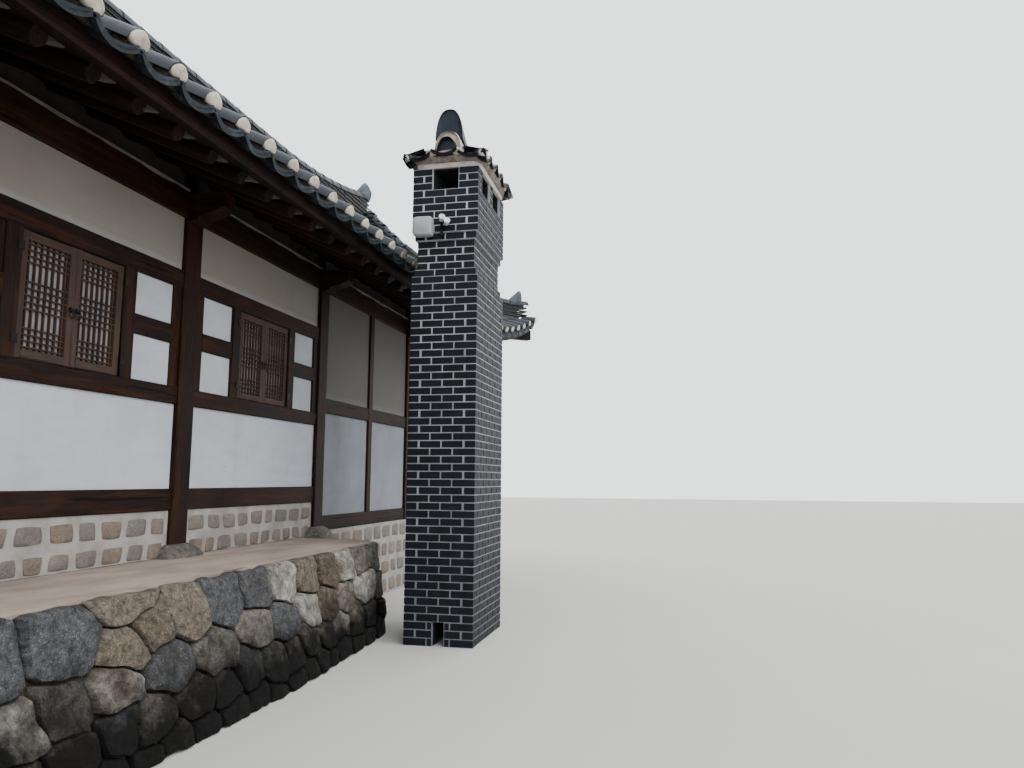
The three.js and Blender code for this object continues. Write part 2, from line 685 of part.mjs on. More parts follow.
function endDeck(end) {
  const grid = (height) => endGrid(end, height);
  const slope = deckLayer(grid);
  const point = (y, run, height) => endPoint(end, y, run, height);
  const whole = join([slope, ...rafters(point, roofHalfDepth)]);
  return cut(whole, [...[FRONT, BACK].map((side) => hipRafter(side, end, SIT)), overDeck(grid)]);
}

// The gable's wall, boards over it and the deck's edge, and a bargeboard that follows each slope
function gable(end) {
  const runs = [...GABLE_RUNS, roofHalfDepth];
  const curve = (height) => {
    const left = runs.map((run) => [-(roofHalfDepth - run), height(run, gableX - VERGE)]);
    return [...left, ...left.slice(0, -1).reverse().map(([y, z]) => [-y, z])];
  };
  const under = curve((run) => underHeight(run) - UNDER_TILES);
  const footHalf = under[under.length - 1][0] - LAP;
  const upTo = (curved) => [[footHalf, GABLE_FOOT], ...curved.slice().reverse(), [-footHalf, GABLE_FOOT]];
  const boardTop = curve(onBed(-TILE_UNDER - UNDER_TILES));
  const boardFoot = curve(onBed(-TILE_UNDER - UNDER_TILES - BARGEBOARD));
  const inward = (a, b) => [end * (gableX - a), end * (gableX - b)].sort((p, q) => p - q);
  return join([
    plateAcross(upTo(under), inward(VERGE + GABLE_THICK, VERGE - LAP)),
    plateAcross(upTo(boardTop), inward(VERGE, VERGE - CLADDING)),
    plateAcross([...boardTop, ...boardFoot.reverse()], inward(VERGE, SIT)),
  ]);
}

// Everything below the tiles' top, to seat the ridges on
function roofMass() {
  const under = () => 2000;
  const above = onBed(TILE_TOP + SIT);
  const runs = [...longRuns.slice(0, -1), roofHalfDepth + LAP];
  const grids = [FRONT, BACK].map((side) => (height) => longGrid(side, height, 1, runs));
  grids.push(...[NEAR, FAR].map((end) => (height) => endGrid(end, height, 1)));
  return join(grids.map((grid) => slab(grid(above), grid(under))));
}

// A ridge of stacked tiles: a section carried along a path of (point, rise) pairs
function ridge(path, width, height) {
  const rings = path.map(({ point, rise = 0 }, i) => {
    const before = path[Math.max(0, i - 1)].point;
    const after = path[Math.min(path.length - 1, i + 1)].point;
    const along = new THREE.Vector3().subVectors(after, before).setZ(0).normalize();
    const across = new THREE.Vector3(-along.y, along.x, 0);
    const section = [[-0.5, -RIDGE_SUNK], [0.5, -RIDGE_SUNK], [0.5, height * 0.7], [0.25, height],
      [-0.25, height], [-0.5, height * 0.7]];
    return section.map(([sideways, up]) => point.clone()
      .addScaledVector(across, sideways * width)
      .add(new THREE.Vector3(0, 0, up + (up > 0 ? rise : 0))));
  });
  return loft(rings);
}

// A round-topped end tile that stands across the end of a ridge
function endTile(foot, heading) {
  const [width, thick, height] = END_TILE;
  const shape = new THREE.Shape();
  shape.moveTo(-width / 2, 0);
  shape.lineTo(width / 2, 0);
  shape.lineTo(width / 2, height - width / 2);
  shape.absarc(0, height - width / 2, width / 2, 0, Math.PI, false);
  const geometry = new THREE.ExtrudeGeometry(shape, { depth: thick, bevelEnabled: false, curveSegments: 6 });
  geometry.translate(0, 0, -thick / 2);
  geometry.rotateX(Math.PI / 2);
  geometry.rotateZ(Math.atan2(heading.y, heading.x) + Math.PI / 2);
  geometry.translate(foot.x, foot.y, foot.z);
  return solid(geometry);
}

function mainRidge(mass) {
  const end = gableX - 2;
  const crest = (share) => new THREE.Vector3(
    share * end, 0, onBed(TILE_TOP)(roofHalfDepth, Math.abs(share) * gableX));
  const path = longSteps.map((share) => ({ point: crest(share), rise: RIDGE_UPTURN * share ** 4 }));
  const stack = ridge(path, RIDGE_WIDTH, RIDGE_HEIGHT - RIDGE_ROUND).subtract(mass);
  const tiles = [NEAR, FAR].map((hand) => endTile(
    crest(hand).add(new THREE.Vector3(0, 0, RIDGE_END_TILE)), new THREE.Vector3(hand, 0, 0)));
  return join([stack, ...tiles]);
}

// Down the edge of the gable and out along the hip, stopping short of the corner
function cornerRidge(side, end, mass) {
  const down = CORNER_RIDGE_DOWN.map((run) => (
    longPoint(side, end * (gableX - CORNER_RIDGE_IN), run, onBed(TILE_TOP))
  ));
  const hip = CORNER_RIDGE_HIP.map((run) => (
    longPoint(side, end * (roofHalfLength - run), run, onBed(TILE_TOP))
  ));
  const path = [...down, ...hip].map((point) => ({ point }));
  path[path.length - 1].rise = CORNER_RIDGE_TIP;
  const stack = ridge(path, ...CORNER_RIDGE).subtract(mass);
  const tip = hip[hip.length - 1];
  const heading = new THREE.Vector3().subVectors(tip, hip[0]);
  return stack.add(endTile(tip.clone().add(new THREE.Vector3(0, 0, CORNER_END_TILE)), heading));
}

// Chimney

const chimneyX = [CHIMNEY_NEAR, CHIMNEY_NEAR + CHIMNEY_LENGTH];
const chimneyY = [CHIMNEY_BACK - CHIMNEY_DEPTH, CHIMNEY_BACK];
const chimneyMiddle = [(chimneyX[0] + chimneyX[1]) / 2, (chimneyY[0] + chimneyY[1]) / 2];

function chimneyShaft() {
  const inset = (by) => [grow(chimneyX, -by), grow(chimneyY, -by)];
  const core = block(...inset(NECK_INSET), [0, CHIMNEY_HEIGHT]);
  const lowerStep = block(...inset(NECK_INSET / 2), [0, NECK[0]]);
  const upperStep = block(...inset(NECK_INSET / 2), [NECK[1], CHIMNEY_HEIGHT]);
  const lower = block(...inset(0), [0, NECK[0] - COURSE]);
  const upper = block(...inset(0), [NECK[1] + COURSE, CHIMNEY_HEIGHT]);
  const flue = block(...inset(CHIMNEY_WALL), [COURSE, CHIMNEY_HEIGHT + LAP]);
  const ventZ = [CHIMNEY_HEIGHT - VENT_HEIGHT, CHIMNEY_HEIGHT + LAP];
  const through = ([face]) => [face - LAP, face + CHIMNEY_WALL + LAP];
  const openings = [
    flue,
    block(through(chimneyX), about(chimneyMiddle[1], END_VENT), ventZ),
    block(through(chimneyX), about(chimneyMiddle[1], SOOT_HOLE[0]), [-LAP, SOOT_HOLE[1]]),
    ...[-1, 1].map((hand) => block(
      about(chimneyMiddle[0] + hand * SIDE_VENT_PLACE, SIDE_VENT), through(chimneyY), ventZ)),
  ];
  return cut(join([core, lowerStep, upperStep, lower, upper]), openings);
}

// A plaster band, a small hipped tile roof and the ridge that carries the top tile
function chimneyCap() {
  const corners = [[-1, -1], [1, -1], [1, 1], [-1, 1]];
  const rect = (grown, z, [along, across] = [1, 1]) => corners.map(([i, j]) => new THREE.Vector3(
    chimneyMiddle[0] + i * (CHIMNEY_LENGTH / 2 + grown) * along,
    chimneyMiddle[1] + j * (CHIMNEY_DEPTH / 2 + grown) * across,
    z));
  const foot = CHIMNEY_HEIGHT + SIT;
  const band = loft([rect(-CAP_BAND[0], foot), rect(-CAP_BAND[0], foot + CAP_BAND[1])]);
  const eave = foot + CAP_EAVE;
  const roof = loft([
    rect(CAP_OVERHANG, eave), rect(CAP_OVERHANG, eave + CAP_EDGE), rect(0, eave + CAP_RISE, CAP_TOP)]);
  return band.add(roof);
}

function chimneyTopTile() {
  const foot = CHIMNEY_HEIGHT + CAP_EAVE + CAP_RISE + 3 * SIT;
  const mirrored = CAP_ARCH.slice(0, -1).reverse().map(([across, up]) => [-across, up]);
  return loft(CAP_RIDGE.map(([along, height, half]) => [...CAP_ARCH, ...mirrored].map(([across, up]) => (
    new THREE.Vector3(chimneyMiddle[0] + along, chimneyMiddle[1] + across * half, foot + up * height)
  ))));
}

// Assembly

addPiece('platform', join([platform(), ...pads()]), granite);
addPiece('far_plinth', block([PLINTH_START, houseLength / 2 + PLINTH_MARGIN], [-plinthHalf, plinthHalf],
  [0, PLINTH_TOP]), baseStone);
addPiece('stone_base', stoneBase(), baseStone);

const floorHalf = halfDepth + BASE_IN - SIT;
addPiece('near_floor', cut(block([postX[0] - BASE_IN + SIT, postX[3] - SIT], [-floorHalf, floorHalf],
  [PLATFORM_TOP + SIT, NEAR_BEAM[1] - 20]), padSpaces()), clayFloor);
addPiece('far_floor', block([PLINTH_START + SIT, postX[5] - POST / 2 - SIT], [-floorHalf, floorHalf],
  [PLINTH_TOP + SIT, FAR_BEAM[1] - 20]), clayFloor);

postX.forEach((_, k) => addPiece(`post_frame_${k + 1}`, postFrame(k), timber));

for (const [side, name] of [[FRONT, 'front'], [BACK, 'back']]) {
  addPiece(`${name}_lower_beam_near`, wallBlock(side, clear(0, 3), railDepth, NEAR_BEAM), timber);
  addPiece(`${name}_lower_beam_far`, cut(
    wallBlock(side, clear(3, 5), railDepth, grow(FAR_BEAM, -SIT)), padSpaces()), timber);
  addPiece(`${name}_rails_near`, nearRails(side), timber);
  addPiece(`${name}_rails_far`, farRails(side), timber);
  addPiece(`${name}_plate`, wallPlate(side), timber);
  for (let bay = 0; bay < 5; bay += 1) addPiece(`${name}_wall_${bay + 1}`, bayWall(side, bay), plaster);
  for (let bay = 0; bay < 3; bay += 1) addPiece(`${name}_window_${bay + 1}`, windowPair(side, bay), windowWood);
  addPiece(`${name}_roof_deck`, longDeck(side), timber);
  addPiece(`${name}_tiles`, longTiles(side), roofTile);
}

const mass = roofMass();
for (const [end, name] of [[NEAR, 'near'], [FAR, 'far']]) {
  addPiece(`${name}_end_frame`, endFrame(end), timber);
  addPiece(`${name}_end_wall`, endWall(end), plaster);
  addPiece(`${name}_end_roof_deck`, endDeck(end), timber);
  addPiece(`${name}_end_tiles`, endTiles(end), roofTile);
  addPiece(`${name}_gable`, gable(end), timber);
  addPiece(`${name}_front_corner_ridge`, cornerRidge(FRONT, end, mass), roofTile);
  addPiece(`${name}_back_corner_ridge`, cornerRidge(BACK, end, mass), roofTile);
}
addPiece('main_ridge', mainRidge(mass), roofTile);

addPiece('chimney_shaft', chimneyShaft(), blackBrick);
addPiece('chimney_cap', chimneyCap(), mortar);
addPiece('chimney_top_tile', chimneyTopTile(), roofTile);

const footprint = new THREE.Box3().setFromObject(house);
house.position.set(-(footprint.min.x + footprint.max.x) / 2, -(footprint.min.y + footprint.max.y) / 2, 0);

export default house;
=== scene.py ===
"""A hanok: a long timber-framed house under a hip-and-gable tiled roof, with its brick chimney.

Lengths are metres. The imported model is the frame: +X runs along the house, the front faces -Y and
the ground is z = 0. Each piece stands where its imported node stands.
"""
from __future__ import annotations

import functools
import json
import logging
import math
import random
from dataclasses import dataclass, field
from enum import Enum
from typing import Any, Callable, Iterable, Sequence

import bpy
from mathutils import Euler, Matrix, Vector, noise

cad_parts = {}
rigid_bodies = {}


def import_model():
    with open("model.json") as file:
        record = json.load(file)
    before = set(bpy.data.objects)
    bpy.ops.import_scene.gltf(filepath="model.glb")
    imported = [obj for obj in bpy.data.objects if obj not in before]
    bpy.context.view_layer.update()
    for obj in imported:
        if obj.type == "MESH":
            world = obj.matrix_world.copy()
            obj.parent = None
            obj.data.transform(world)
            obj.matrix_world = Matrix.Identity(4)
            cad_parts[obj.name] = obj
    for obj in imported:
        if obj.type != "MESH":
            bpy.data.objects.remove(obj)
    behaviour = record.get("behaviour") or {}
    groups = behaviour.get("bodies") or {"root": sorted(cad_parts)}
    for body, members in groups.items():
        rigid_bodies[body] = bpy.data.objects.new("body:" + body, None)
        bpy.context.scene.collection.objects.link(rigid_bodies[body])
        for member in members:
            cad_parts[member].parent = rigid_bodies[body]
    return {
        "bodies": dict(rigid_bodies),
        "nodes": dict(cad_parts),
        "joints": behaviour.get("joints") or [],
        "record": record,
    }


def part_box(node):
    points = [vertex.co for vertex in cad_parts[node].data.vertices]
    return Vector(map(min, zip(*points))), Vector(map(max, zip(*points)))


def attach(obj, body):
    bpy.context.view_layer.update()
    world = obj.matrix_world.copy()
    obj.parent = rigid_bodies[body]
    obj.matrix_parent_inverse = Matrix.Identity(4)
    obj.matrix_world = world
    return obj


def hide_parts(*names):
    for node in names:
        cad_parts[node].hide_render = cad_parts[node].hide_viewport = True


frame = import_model()

log = logging.getLogger("hanok")

BODY = "root"
UP = Vector((0.0, 0.0, 1.0))
ACROSS = Vector((0.0, 1.0, 0.0))
# Arc of a cover tile, in degrees
COVER_SWEEP = 184.0
PHOTO_WIDTH = 1024
SENSOR_WIDTH = 36.0

Place = Callable[[float, float, float], Vector]
Span = tuple[float, float]
Socket = bpy.types.NodeSocket


class Side(Enum):
    """The four sides of the house, by the direction that each one faces."""

    FRONT = (0, -1)
    BACK = (0, 1)
    NEAR = (-1, 0)
    FAR = (1, 0)

    @property
    def outward(self) -> Vector:
        """Direction away from the house."""
        return Vector((*self.value, 0.0))

    @property
    def along(self) -> Vector:
        """Direction along the wall, always towards +X or +Y."""
        return Vector((abs(self.value[1]), abs(self.value[0]), 0.0))

    @property
    def label(self) -> str:
        """The side's word in the names of nodes and pieces."""
        return self.name.lower()


LONG_SIDES = (Side.FRONT, Side.BACK)
END_SIDES = (Side.NEAR, Side.FAR)


# Placing and shaping

def linear(hex_code: str) -> tuple[float, float, float, float]:
    """Turns an sRGB hex colour into linear RGBA.

    Args:
        hex_code: six hex digits, with or without a leading #.

    Returns:
        Red, green, blue and alpha for a Blender socket.
    """
    digits = hex_code.lstrip("#")
    channels = [int(digits[i:i + 2], 16) / 255 for i in (0, 2, 4)]
    red, green, blue = (c / 12.92 if c <= 0.04045 else ((c + 0.055) / 1.055) ** 2.4 for c in channels)
    return red, green, blue, 1.0


def spread(count: int, step: float) -> list[float]:
    """Gives a number of evenly spaced places about zero, from the lowest up."""
    return [(i - (count - 1) / 2) * step for i in range(count)]


def turns(count: int) -> list[float]:
    """Gives the angles of even steps round a circle."""
    return [2 * math.pi * i / count for i in range(count)]


def mirrored(middle: float, hand: int, span: Span, longer: float = 0.0) -> Span:
    """Gives a span on one hand of a middle, made longer at both ends."""
    low, high = sorted((middle + hand * span[0], middle + hand * span[1]))
    return low - longer, high + longer


def rim(rows: int, columns: int) -> list[int]:
    """Gives the indices round the edge of a grid of points."""
    edge = [j for j in range(columns)]
    edge += [i * columns + columns - 1 for i in range(1, rows)]
    edge += [(rows - 1) * columns + j for j in range(columns - 2, -1, -1)]
    return edge + [i * columns for i in range(rows - 2, 0, -1)]


def steps_between(low: float, high: float, step: float) -> list[float]:
    """Gives places from low to high, both included, at most a step apart."""
    count = max(1, math.ceil(abs(high - low) / step))
    return [low + (high - low) * i / count for i in range(count + 1)]


def rough(point: Vector, scale: float, octaves: int = 3) -> float:
    """Smooth noise between about -1 and 1 at a point, with detail down to scale / 2**octaves."""
    total, size = 0.0, 1.0
    place = point / scale
    for _ in range(octaves):
        total += noise.noise(place) * size
        place = place * 2.03
        size *= 0.5
    return total


def signed_volume(points: Sequence[Vector], faces: Iterable[Sequence[int]]) -> float:
    """Volume inside closed faces, negative where they point inwards."""
    total = 0.0
    for face in faces:
        first = points[face[0]]
        for i in range(1, len(face) - 1):
            total += first.dot(points[face[i]].cross(points[face[i + 1]]))
    return total / 6


def link(made: bpy.types.Object) -> bpy.types.Object:
    """Puts an object into the scene."""
    bpy.context.scene.collection.objects.link(made)
    return made


class Shell:
    """Gathers closed shapes into one mesh, each with its own grain position and tone."""

    def __init__(self, seed: int = 1) -> None:
        """Starts an empty mesh; the seed fixes the small differences between its shapes."""
        self.points: list[Vector] = []
        self.faces: list[tuple[int, ...]] = []
        self.grain: list[Vector] = []
        self.tone: list[float] = []
        self.rng = random.Random(seed)

    def own(self, reach: float) -> Vector:
        """Draws a shape's own place in the timber or stone."""
        return Vector([self.rng.uniform(0, reach) for _ in range(3)])

    def add(self, points: Sequence[Vector], faces: Sequence[Sequence[int]],
            grain: Sequence[Vector] | None = None, tone: float | None = None) -> None:
        """Adds one closed shape, turned the right way out.

        Args:
            points: its corners.
            faces: its faces, as indices into points.
            grain: each corner's place in the piece's own timber or stone; the corner itself if None.
            tone: 0 to 1, the shape's own shade; drawn at random if None.
        """
        start = len(self.points)
        middle = sum(points, Vector()) / len(points)
        inside_out = signed_volume([p - middle for p in points], faces) < 0
        for face in faces:
            shifted = tuple(start + i for i in face)
            self.faces.append(shifted[::-1] if inside_out else shifted)
        self.points.extend(points)
        self.grain.extend(grain if grain is not None else points)
        shade = self.rng.random() if tone is None else tone
        self.tone.extend([shade] * len(points))

    def loft(self, rings: Sequence[Sequence[Vector]], grain: Sequence[Sequence[Vector]] | None = None,
             tone: float | None = None) -> None:
        """Adds a solid through rings of points, closed at both ends.

        Args:
            rings: rings with one count of points.
            grain: the rings' places in the timber.
            tone: as in add.
        """
        count = len(rings[0])
        faces: list[tuple[int, ...]] = []
        for r in range(len(rings) - 1):
            for i in range(count):
                j = (i + 1) % count
                faces.append((r * count + i, r * count + j, (r + 1) * count + j, (r + 1) * count + i))
        last = (len(rings) - 1) * count
        faces += [tuple(range(count))[::-1], tuple(range(last, last + count))]
        flat_grain = [g for ring in grain for g in ring] if grain else None
        self.add([p for ring in rings for p in ring], faces, flat_grain, tone)

    def slab(self, top: Sequence[Sequence[Vector]], bottom: Sequence[Sequence[Vector]],
             tone: float | None = None) -> None:
        """Adds the solid between two grids of points that face each other.

        Args:
            top: rows of points.
            bottom: rows of as many points.
            tone: as in add.
        """
        rows, columns = len(top), len(top[0])
        size = rows * columns
        faces: list[tuple[int, ...]] = []
        for i in range(rows - 1):
            for j in range(columns - 1):
                a = i * columns + j
                faces.append((a, a + 1, a + columns + 1, a + columns))
                faces.append((size + a, size + a + columns, size + a + columns + 1, size + a + 1))
        edge = rim(rows, columns)
        faces += [(b, a, size + a, size + b) for a, b in zip(edge, edge[1:] + edge[:1])]
        self.add([p for row in (*top, *bottom) for p in row], faces, None, tone)

    def sweep(self, start: Vector, end: Vector, up: Vector, own: Vector,
              sections: Iterable[tuple[float, Sequence[Span]]]) -> None:
        """Adds a timber through sections.

        Args:
            start: middle of one end.
            end: middle of the other end.
            up: the way that the sections' second place is measured.
            own: its place in the timber.
            sections: each section's share of the way along, and its corners across and up.
        """
        length = (end - start).length
        along = (end - start) / length
        across = along.cross(up).normalized()
        upright = across.cross(along)
        rings, grain = [], []
        for share, section in sections:
            centre = start.lerp(end, share)
            rings.append([centre + across * u + upright * v for u, v in section])
            grain.append([own + Vector((share * length, u, v)) for u, v in section])
        self.loft(rings, grain)

    def beam(self, start: Vector, end: Vector, width: float, height: float, up: Vector = UP,
             chamfer: float = 0.007, wobble: float = 0.002, step: float = 0.45,
             end_size: Span = (1.0, 1.0)) -> None:
        """Adds a hewn timber with softened edges.

        Args:
            start: middle of one end.
            end: middle of the other end.
            width: size across the timber's length and up.
            height: size in the direction of up.
            up: the way that height is measured.
            chamfer: width of the softened edges.
            wobble: how far its faces stray from true.
            step: distance between the places where they stray.
            end_size: width and height at the end, against those at the start.
        """
        own = self.own(40)
        sections = []
        for share in steps_between(0.0, 1.0, step / (end - start).length):
            w, h = (size / 2 * (1 + (last - 1) * share) + self.rng.uniform(-wobble, wobble) / 2
                    for size, last in zip((width, height), end_size))
            cut = min(chamfer, w * 0.6, h * 0.6)
            sections.append((share, [(-w + cut, -h), (w - cut, -h), (w, -h + cut), (w, h - cut),
                                     (w - cut, h), (-w + cut, h), (-w, h - cut), (-w, -h + cut)]))
        self.sweep(start, end, up, own, sections)

    def pole(self, start: Vector, end: Vector, radius: float, tip: float = 1.0, sides: int = 12,
             wobble: float = 0.03) -> None:
        """Adds a round timber.

        Args:
            start: middle of one end.
            end: middle of the other end.
            radius: at the start.
            tip: radius at the end, against that at the start.
            sides: faces round it.
            wobble: how uneven its section is, against its radius.
        """
        own = self.own(40)
        uneven = [1 + self.rng.uniform(-wobble, wobble) for _ in range(sides)]
        sections = []
        for share, squeeze in ((0.0, 0.9), (0.012, 1.0), (0.5, 1.0), (0.988, 1.0), (1.0, 0.9)):
            reach = radius * (1 + (tip - 1) * share) * squeeze
            sections.append((share, [(reach * u * math.cos(a), reach * u * math.sin(a))
                                     for u, a in zip(uneven, turns(sides))]))
        self.sweep(start, end, UP, own, sections)

    def stone(self, place: Place, corners: Sequence[Span], bulge: float, sunk: float, rounding: float,
              roughness: float, cells: tuple[int, int] = (9, 7)) -> None:
        """Adds a stone with a domed, uneven face, bedded in a wall.

        Args:
            place: turns a distance along the wall, a height and a distance out into a point.
            corners: lower left, lower right, upper right and upper left, along and up.
            bulge: how far its face stands out.
            sunk: how far its edges lie in.
            rounding: 0 for square corners, 1 for an oval stone.
            roughness: how far its face strays.
            cells: faces along and up.
        """
        own = self.own(60)
        lower_left, lower_right, upper_right, upper_left = (Vector(c) for c in corners)
        columns, rows = cells
        points, grain = [], []
        for j in range(rows + 1):
            for i in range(columns + 1):
                a, b = (math.sin((share - 0.5) * math.pi * 0.92) / math.sin(math.pi * 0.46)
                        for share in (i / columns, j / rows))
                u = 0.5 + a * math.sqrt(1 - rounding * b * b / 2) / 2
                v = 0.5 + b * math.sqrt(1 - rounding * a * a / 2) / 2
                flat = lower_left.lerp(lower_right, u).lerp(upper_left.lerp(upper_right, u), v)
                spot = own + Vector((flat.x, flat.y, 0.0))
                face = ((1 - abs(a) ** 7) * (1 - abs(b) ** 7)) ** 0.4
                stray = rough(spot, 0.16, 4) * roughness
                out = -sunk + (bulge + sunk) * face + stray * face
                edge_stray = rough(spot + UP * 9, 0.12, 2) * roughness * 0.35
                points.append(place(flat.x + edge_stray, flat.y + edge_stray, out))
                grain.append(spot)
        across = columns + 1
        starts = [j * across + i for j in range(rows) for i in range(columns)]
        faces = [(a, a + 1, a + across + 1, a + across) for a in starts]
        faces.append(tuple(rim(rows + 1, across)[::-1]))
        self.add(points, faces, grain)

    def build(self, name: str, finish: "Finish", smooth: float | None = None) -> bpy.types.Object:
        """Makes the object.

        Args:
            name: the object's name.
            finish: what it is made of.
            smooth: edges flatter than this angle in degrees are shaded smooth; none if None.

        Returns:
            The new object, at the origin.
        """
        mesh = bpy.data.meshes.new(name)
        mesh.from_pydata([p[:] for p in self.points], [], self.faces)
        grain = mesh.attributes.new("grain", "FLOAT_VECTOR", "POINT")
        grain.data.foreach_set("vector", [c for g in self.grain for c in g])
        tone = mesh.attributes.new("tone", "FLOAT", "POINT")
        tone.data.foreach_set("value", self.tone)
        if smooth is not None:
            mesh.shade_smooth()
            mesh.set_sharp_from_angle(angle=math.radians(smooth))
        mesh.materials.append(finish.material())
        return link(bpy.data.objects.new(name, mesh))


def put(piece: bpy.types.Object, slot: str, *nodes: str) -> None:
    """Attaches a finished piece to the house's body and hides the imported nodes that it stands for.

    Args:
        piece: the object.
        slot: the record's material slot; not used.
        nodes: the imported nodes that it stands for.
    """
    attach(piece, BODY)
    if nodes:
        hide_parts(*nodes)
    log.info("%s: %d faces", piece.name, len(piece.data.polygons))


def add_node(tree: bpy.types.NodeTree, kind: str, inputs: dict[str | int, Any] | None = None,
             **settings: Any) -> bpy.types.Node:
    """Adds one node.

    Args:
        tree: the tree that it joins.
        kind: the node's type.
        inputs: its inputs' own values, or the sockets that feed them, by name or number.
        settings: its properties.

    Returns:
        The new node.
    """
    node = tree.nodes.new(kind)
    for key, value in settings.items():
        setattr(node, key, value)
    for key, value in (inputs or {}).items():
        if isinstance(value, Socket):
            tree.links.new(value, node.inputs[key])
        else:
            node.inputs[key].default_value = value
    return node


# Finishes

class Painter:
    """Adds the shader nodes that the finishes share; each method gives the socket that it ends in."""

    def __init__(self, tree: bpy.types.NodeTree) -> None:
        """Starts with the piece's own coordinates."""
        self.tree = tree
        self.place = self.add("TexCoord", "Object")

    def add(self, kind: str, output: str | int, inputs: dict[str | int, Any] | None = None,
            **settings: Any) -> Socket:
        """Adds a shader node and gives one of its outputs."""
        return add_node(self.tree, "ShaderNode" + kind, inputs, **settings).outputs[output]

    def attribute(self, name: str, output: str) -> Socket:
        """Reads an attribute of the mesh."""
        return self.add("Attribute", output, attribute_name=name)

    def height(self) -> Socket:
        """Gives the height over the ground."""
        return self.add("SeparateXYZ", "Z", {0: self.place})

    def noise(self, place: Socket, scale: float, detail: float = 2.0, roughness: float = 0.5,
              distortion: float = 0.0, stretch: Sequence[float] | None = None) -> Socket:
        """Adds noise.

        Args:
            place: where it is read.
            scale: how fine it is.
            detail: how many finer layers it has.
            roughness: how strong those are.
            distortion: how much it winds.
            stretch: what each axis is multiplied by first.

        Returns:
            Its value.
        """
        if stretch:
            place = self.add("Mapping", "Vector", {"Vector": place, "Scale": stretch})
        return self.add("TexNoise", "Fac", {"Vector": place, "Scale": scale, "Detail": detail,
                                            "Roughness": roughness, "Distortion": distortion})

    def span(self, value: Socket, start: float, end: float, low: float = 0.0, high: float = 1.0) -> Socket:
        """Turns the range from start to end into that from low to high."""
        return self.add("MapRange", 0, {0: value, 1: start, 2: end, 3: low, 4: high})

    def math(self, operation: str, *terms: Socket | float) -> Socket:
        """Adds a sum or a product."""
        return self.add("Math", 0, dict(enumerate(terms)), operation=operation)

    def blend(self, share: float, first: Socket, second: Socket) -> Socket:
        """Mixes two values."""
        return self.add("Mix", 0, {0: share, 2: first, 3: second})

    def mix(self, share: Socket | float, under: Socket | str, over: Socket | str,
            **settings: Any) -> Socket:
        """Mixes two colours, each a socket or an sRGB hex colour."""
        under, over = (linear(c) if isinstance(c, str) else c for c in (under, over))
        return self.add("Mix", 2, {0: share, 6: under, 7: over}, data_type="RGBA", **settings)

    def shade(self, colour: Socket, value: Socket) -> Socket:
        """Makes a colour lighter or darker."""
        return self.add("HueSaturation", "Color", {"Color": colour, "Value": value})

    def ramp(self, share: Socket, *stops: tuple[float, str]) -> Socket:
        """Turns a share into a colour, by places and sRGB hex colours with the two ends first."""
        node = add_node(self.tree, "ShaderNodeValToRGB", {"Fac": share})
        elements = node.color_ramp.elements
        for i, (position, colour) in enumerate(stops):
            element = elements[i] if i < 2 else elements.new(position)
            element.position = position
            element.color = linear(colour)
        return node.outputs["Color"]


@dataclass(frozen=True)
class Surface:
    """The sockets that a finish hands to its shader."""

    colour: Socket
    roughness: Socket
    height: Socket


@dataclass(frozen=True)
class Finish:
    """What a surface is made of; each kind paints its own colour, roughness and relief."""

    name: str
    relief: float = 0.002
    specular: float = 0.35

    def paint(self, painter: Painter) -> Surface:
        """Adds the nodes of this finish and gives the sockets that they end in."""
        raise NotImplementedError

    def material(self) -> bpy.types.Material:
        """Gives the finish's material, made once."""
        return material_for(self)


@functools.cache
def material_for(finish: Finish) -> bpy.types.Material:
    """Builds a finish's material.

    Args:
        finish: the finish.

    Returns:
        A material with one Principled shader.
    """
    material = bpy.data.materials.new(finish.name)
    material.use_nodes = True
    tree = material.node_tree
    tree.nodes.clear()
    painter = Painter(tree)
    surface = finish.paint(painter)
    bump = painter.add("Bump", "Normal", {"Strength": 1.0, "Distance": finish.relief,
                                          "Height": surface.height})
    shader = painter.add("BsdfPrincipled", "BSDF", {
        "Specular IOR Level": finish.specular, "Base Color": surface.colour,
        "Roughness": surface.roughness, "Normal": bump})
    add_node(tree, "ShaderNodeOutputMaterial", {"Surface": shader})
    return material


@dataclass(frozen=True)
class Wood(Finish):
    """Sawn or hewn pine, with its grain along each member and weather in its hollows."""

    dark: str = "#1c100b"
    middle: str = "#38211a"
    light: str = "#5a3828"
    weathered: str = "#5d4a3d"
    weather: float = 0.35
    gloss: Span = (0.5, 0.75)

    def paint(self, painter: Painter) -> Surface:
        """Adds grain, rings, cracks and weathering."""
        grain, tone = painter.attribute("grain", "Vector"), painter.attribute("tone", "Fac")
        fibre = painter.noise(grain, 1.0, 5.0, 0.65, stretch=(4.0, 110.0, 110.0))
        rings = painter.noise(grain, 1.0, 3.0, distortion=0.8, stretch=(0.9, 16.0, 16.0))
        cracks = painter.noise(grain, 1.0, stretch=(0.7, 34.0, 34.0))
        crack_line = painter.ramp(cracks, (0.66, "#000000"), (0.70, "#ffffff"))
        base = painter.ramp(painter.blend(0.55, fibre, rings), (0.34, self.dark), (0.66, self.light),
                            (0.5, self.middle))
        patches = painter.noise(painter.place, 1.7, 5.0, 0.6)
        worn = painter.mix(painter.span(patches, 0.48, 0.75, 0.0, self.weather), base, self.weathered)
        shaded = painter.shade(worn, painter.span(tone, 0.0, 1.0, 0.78, 1.16))
        height = painter.math("SUBTRACT", fibre, painter.math("MULTIPLY", crack_line, 2.5))
        return Surface(painter.mix(crack_line, shaded, self.dark),
                       painter.span(rings, 0.0, 1.0, *self.gloss), height)


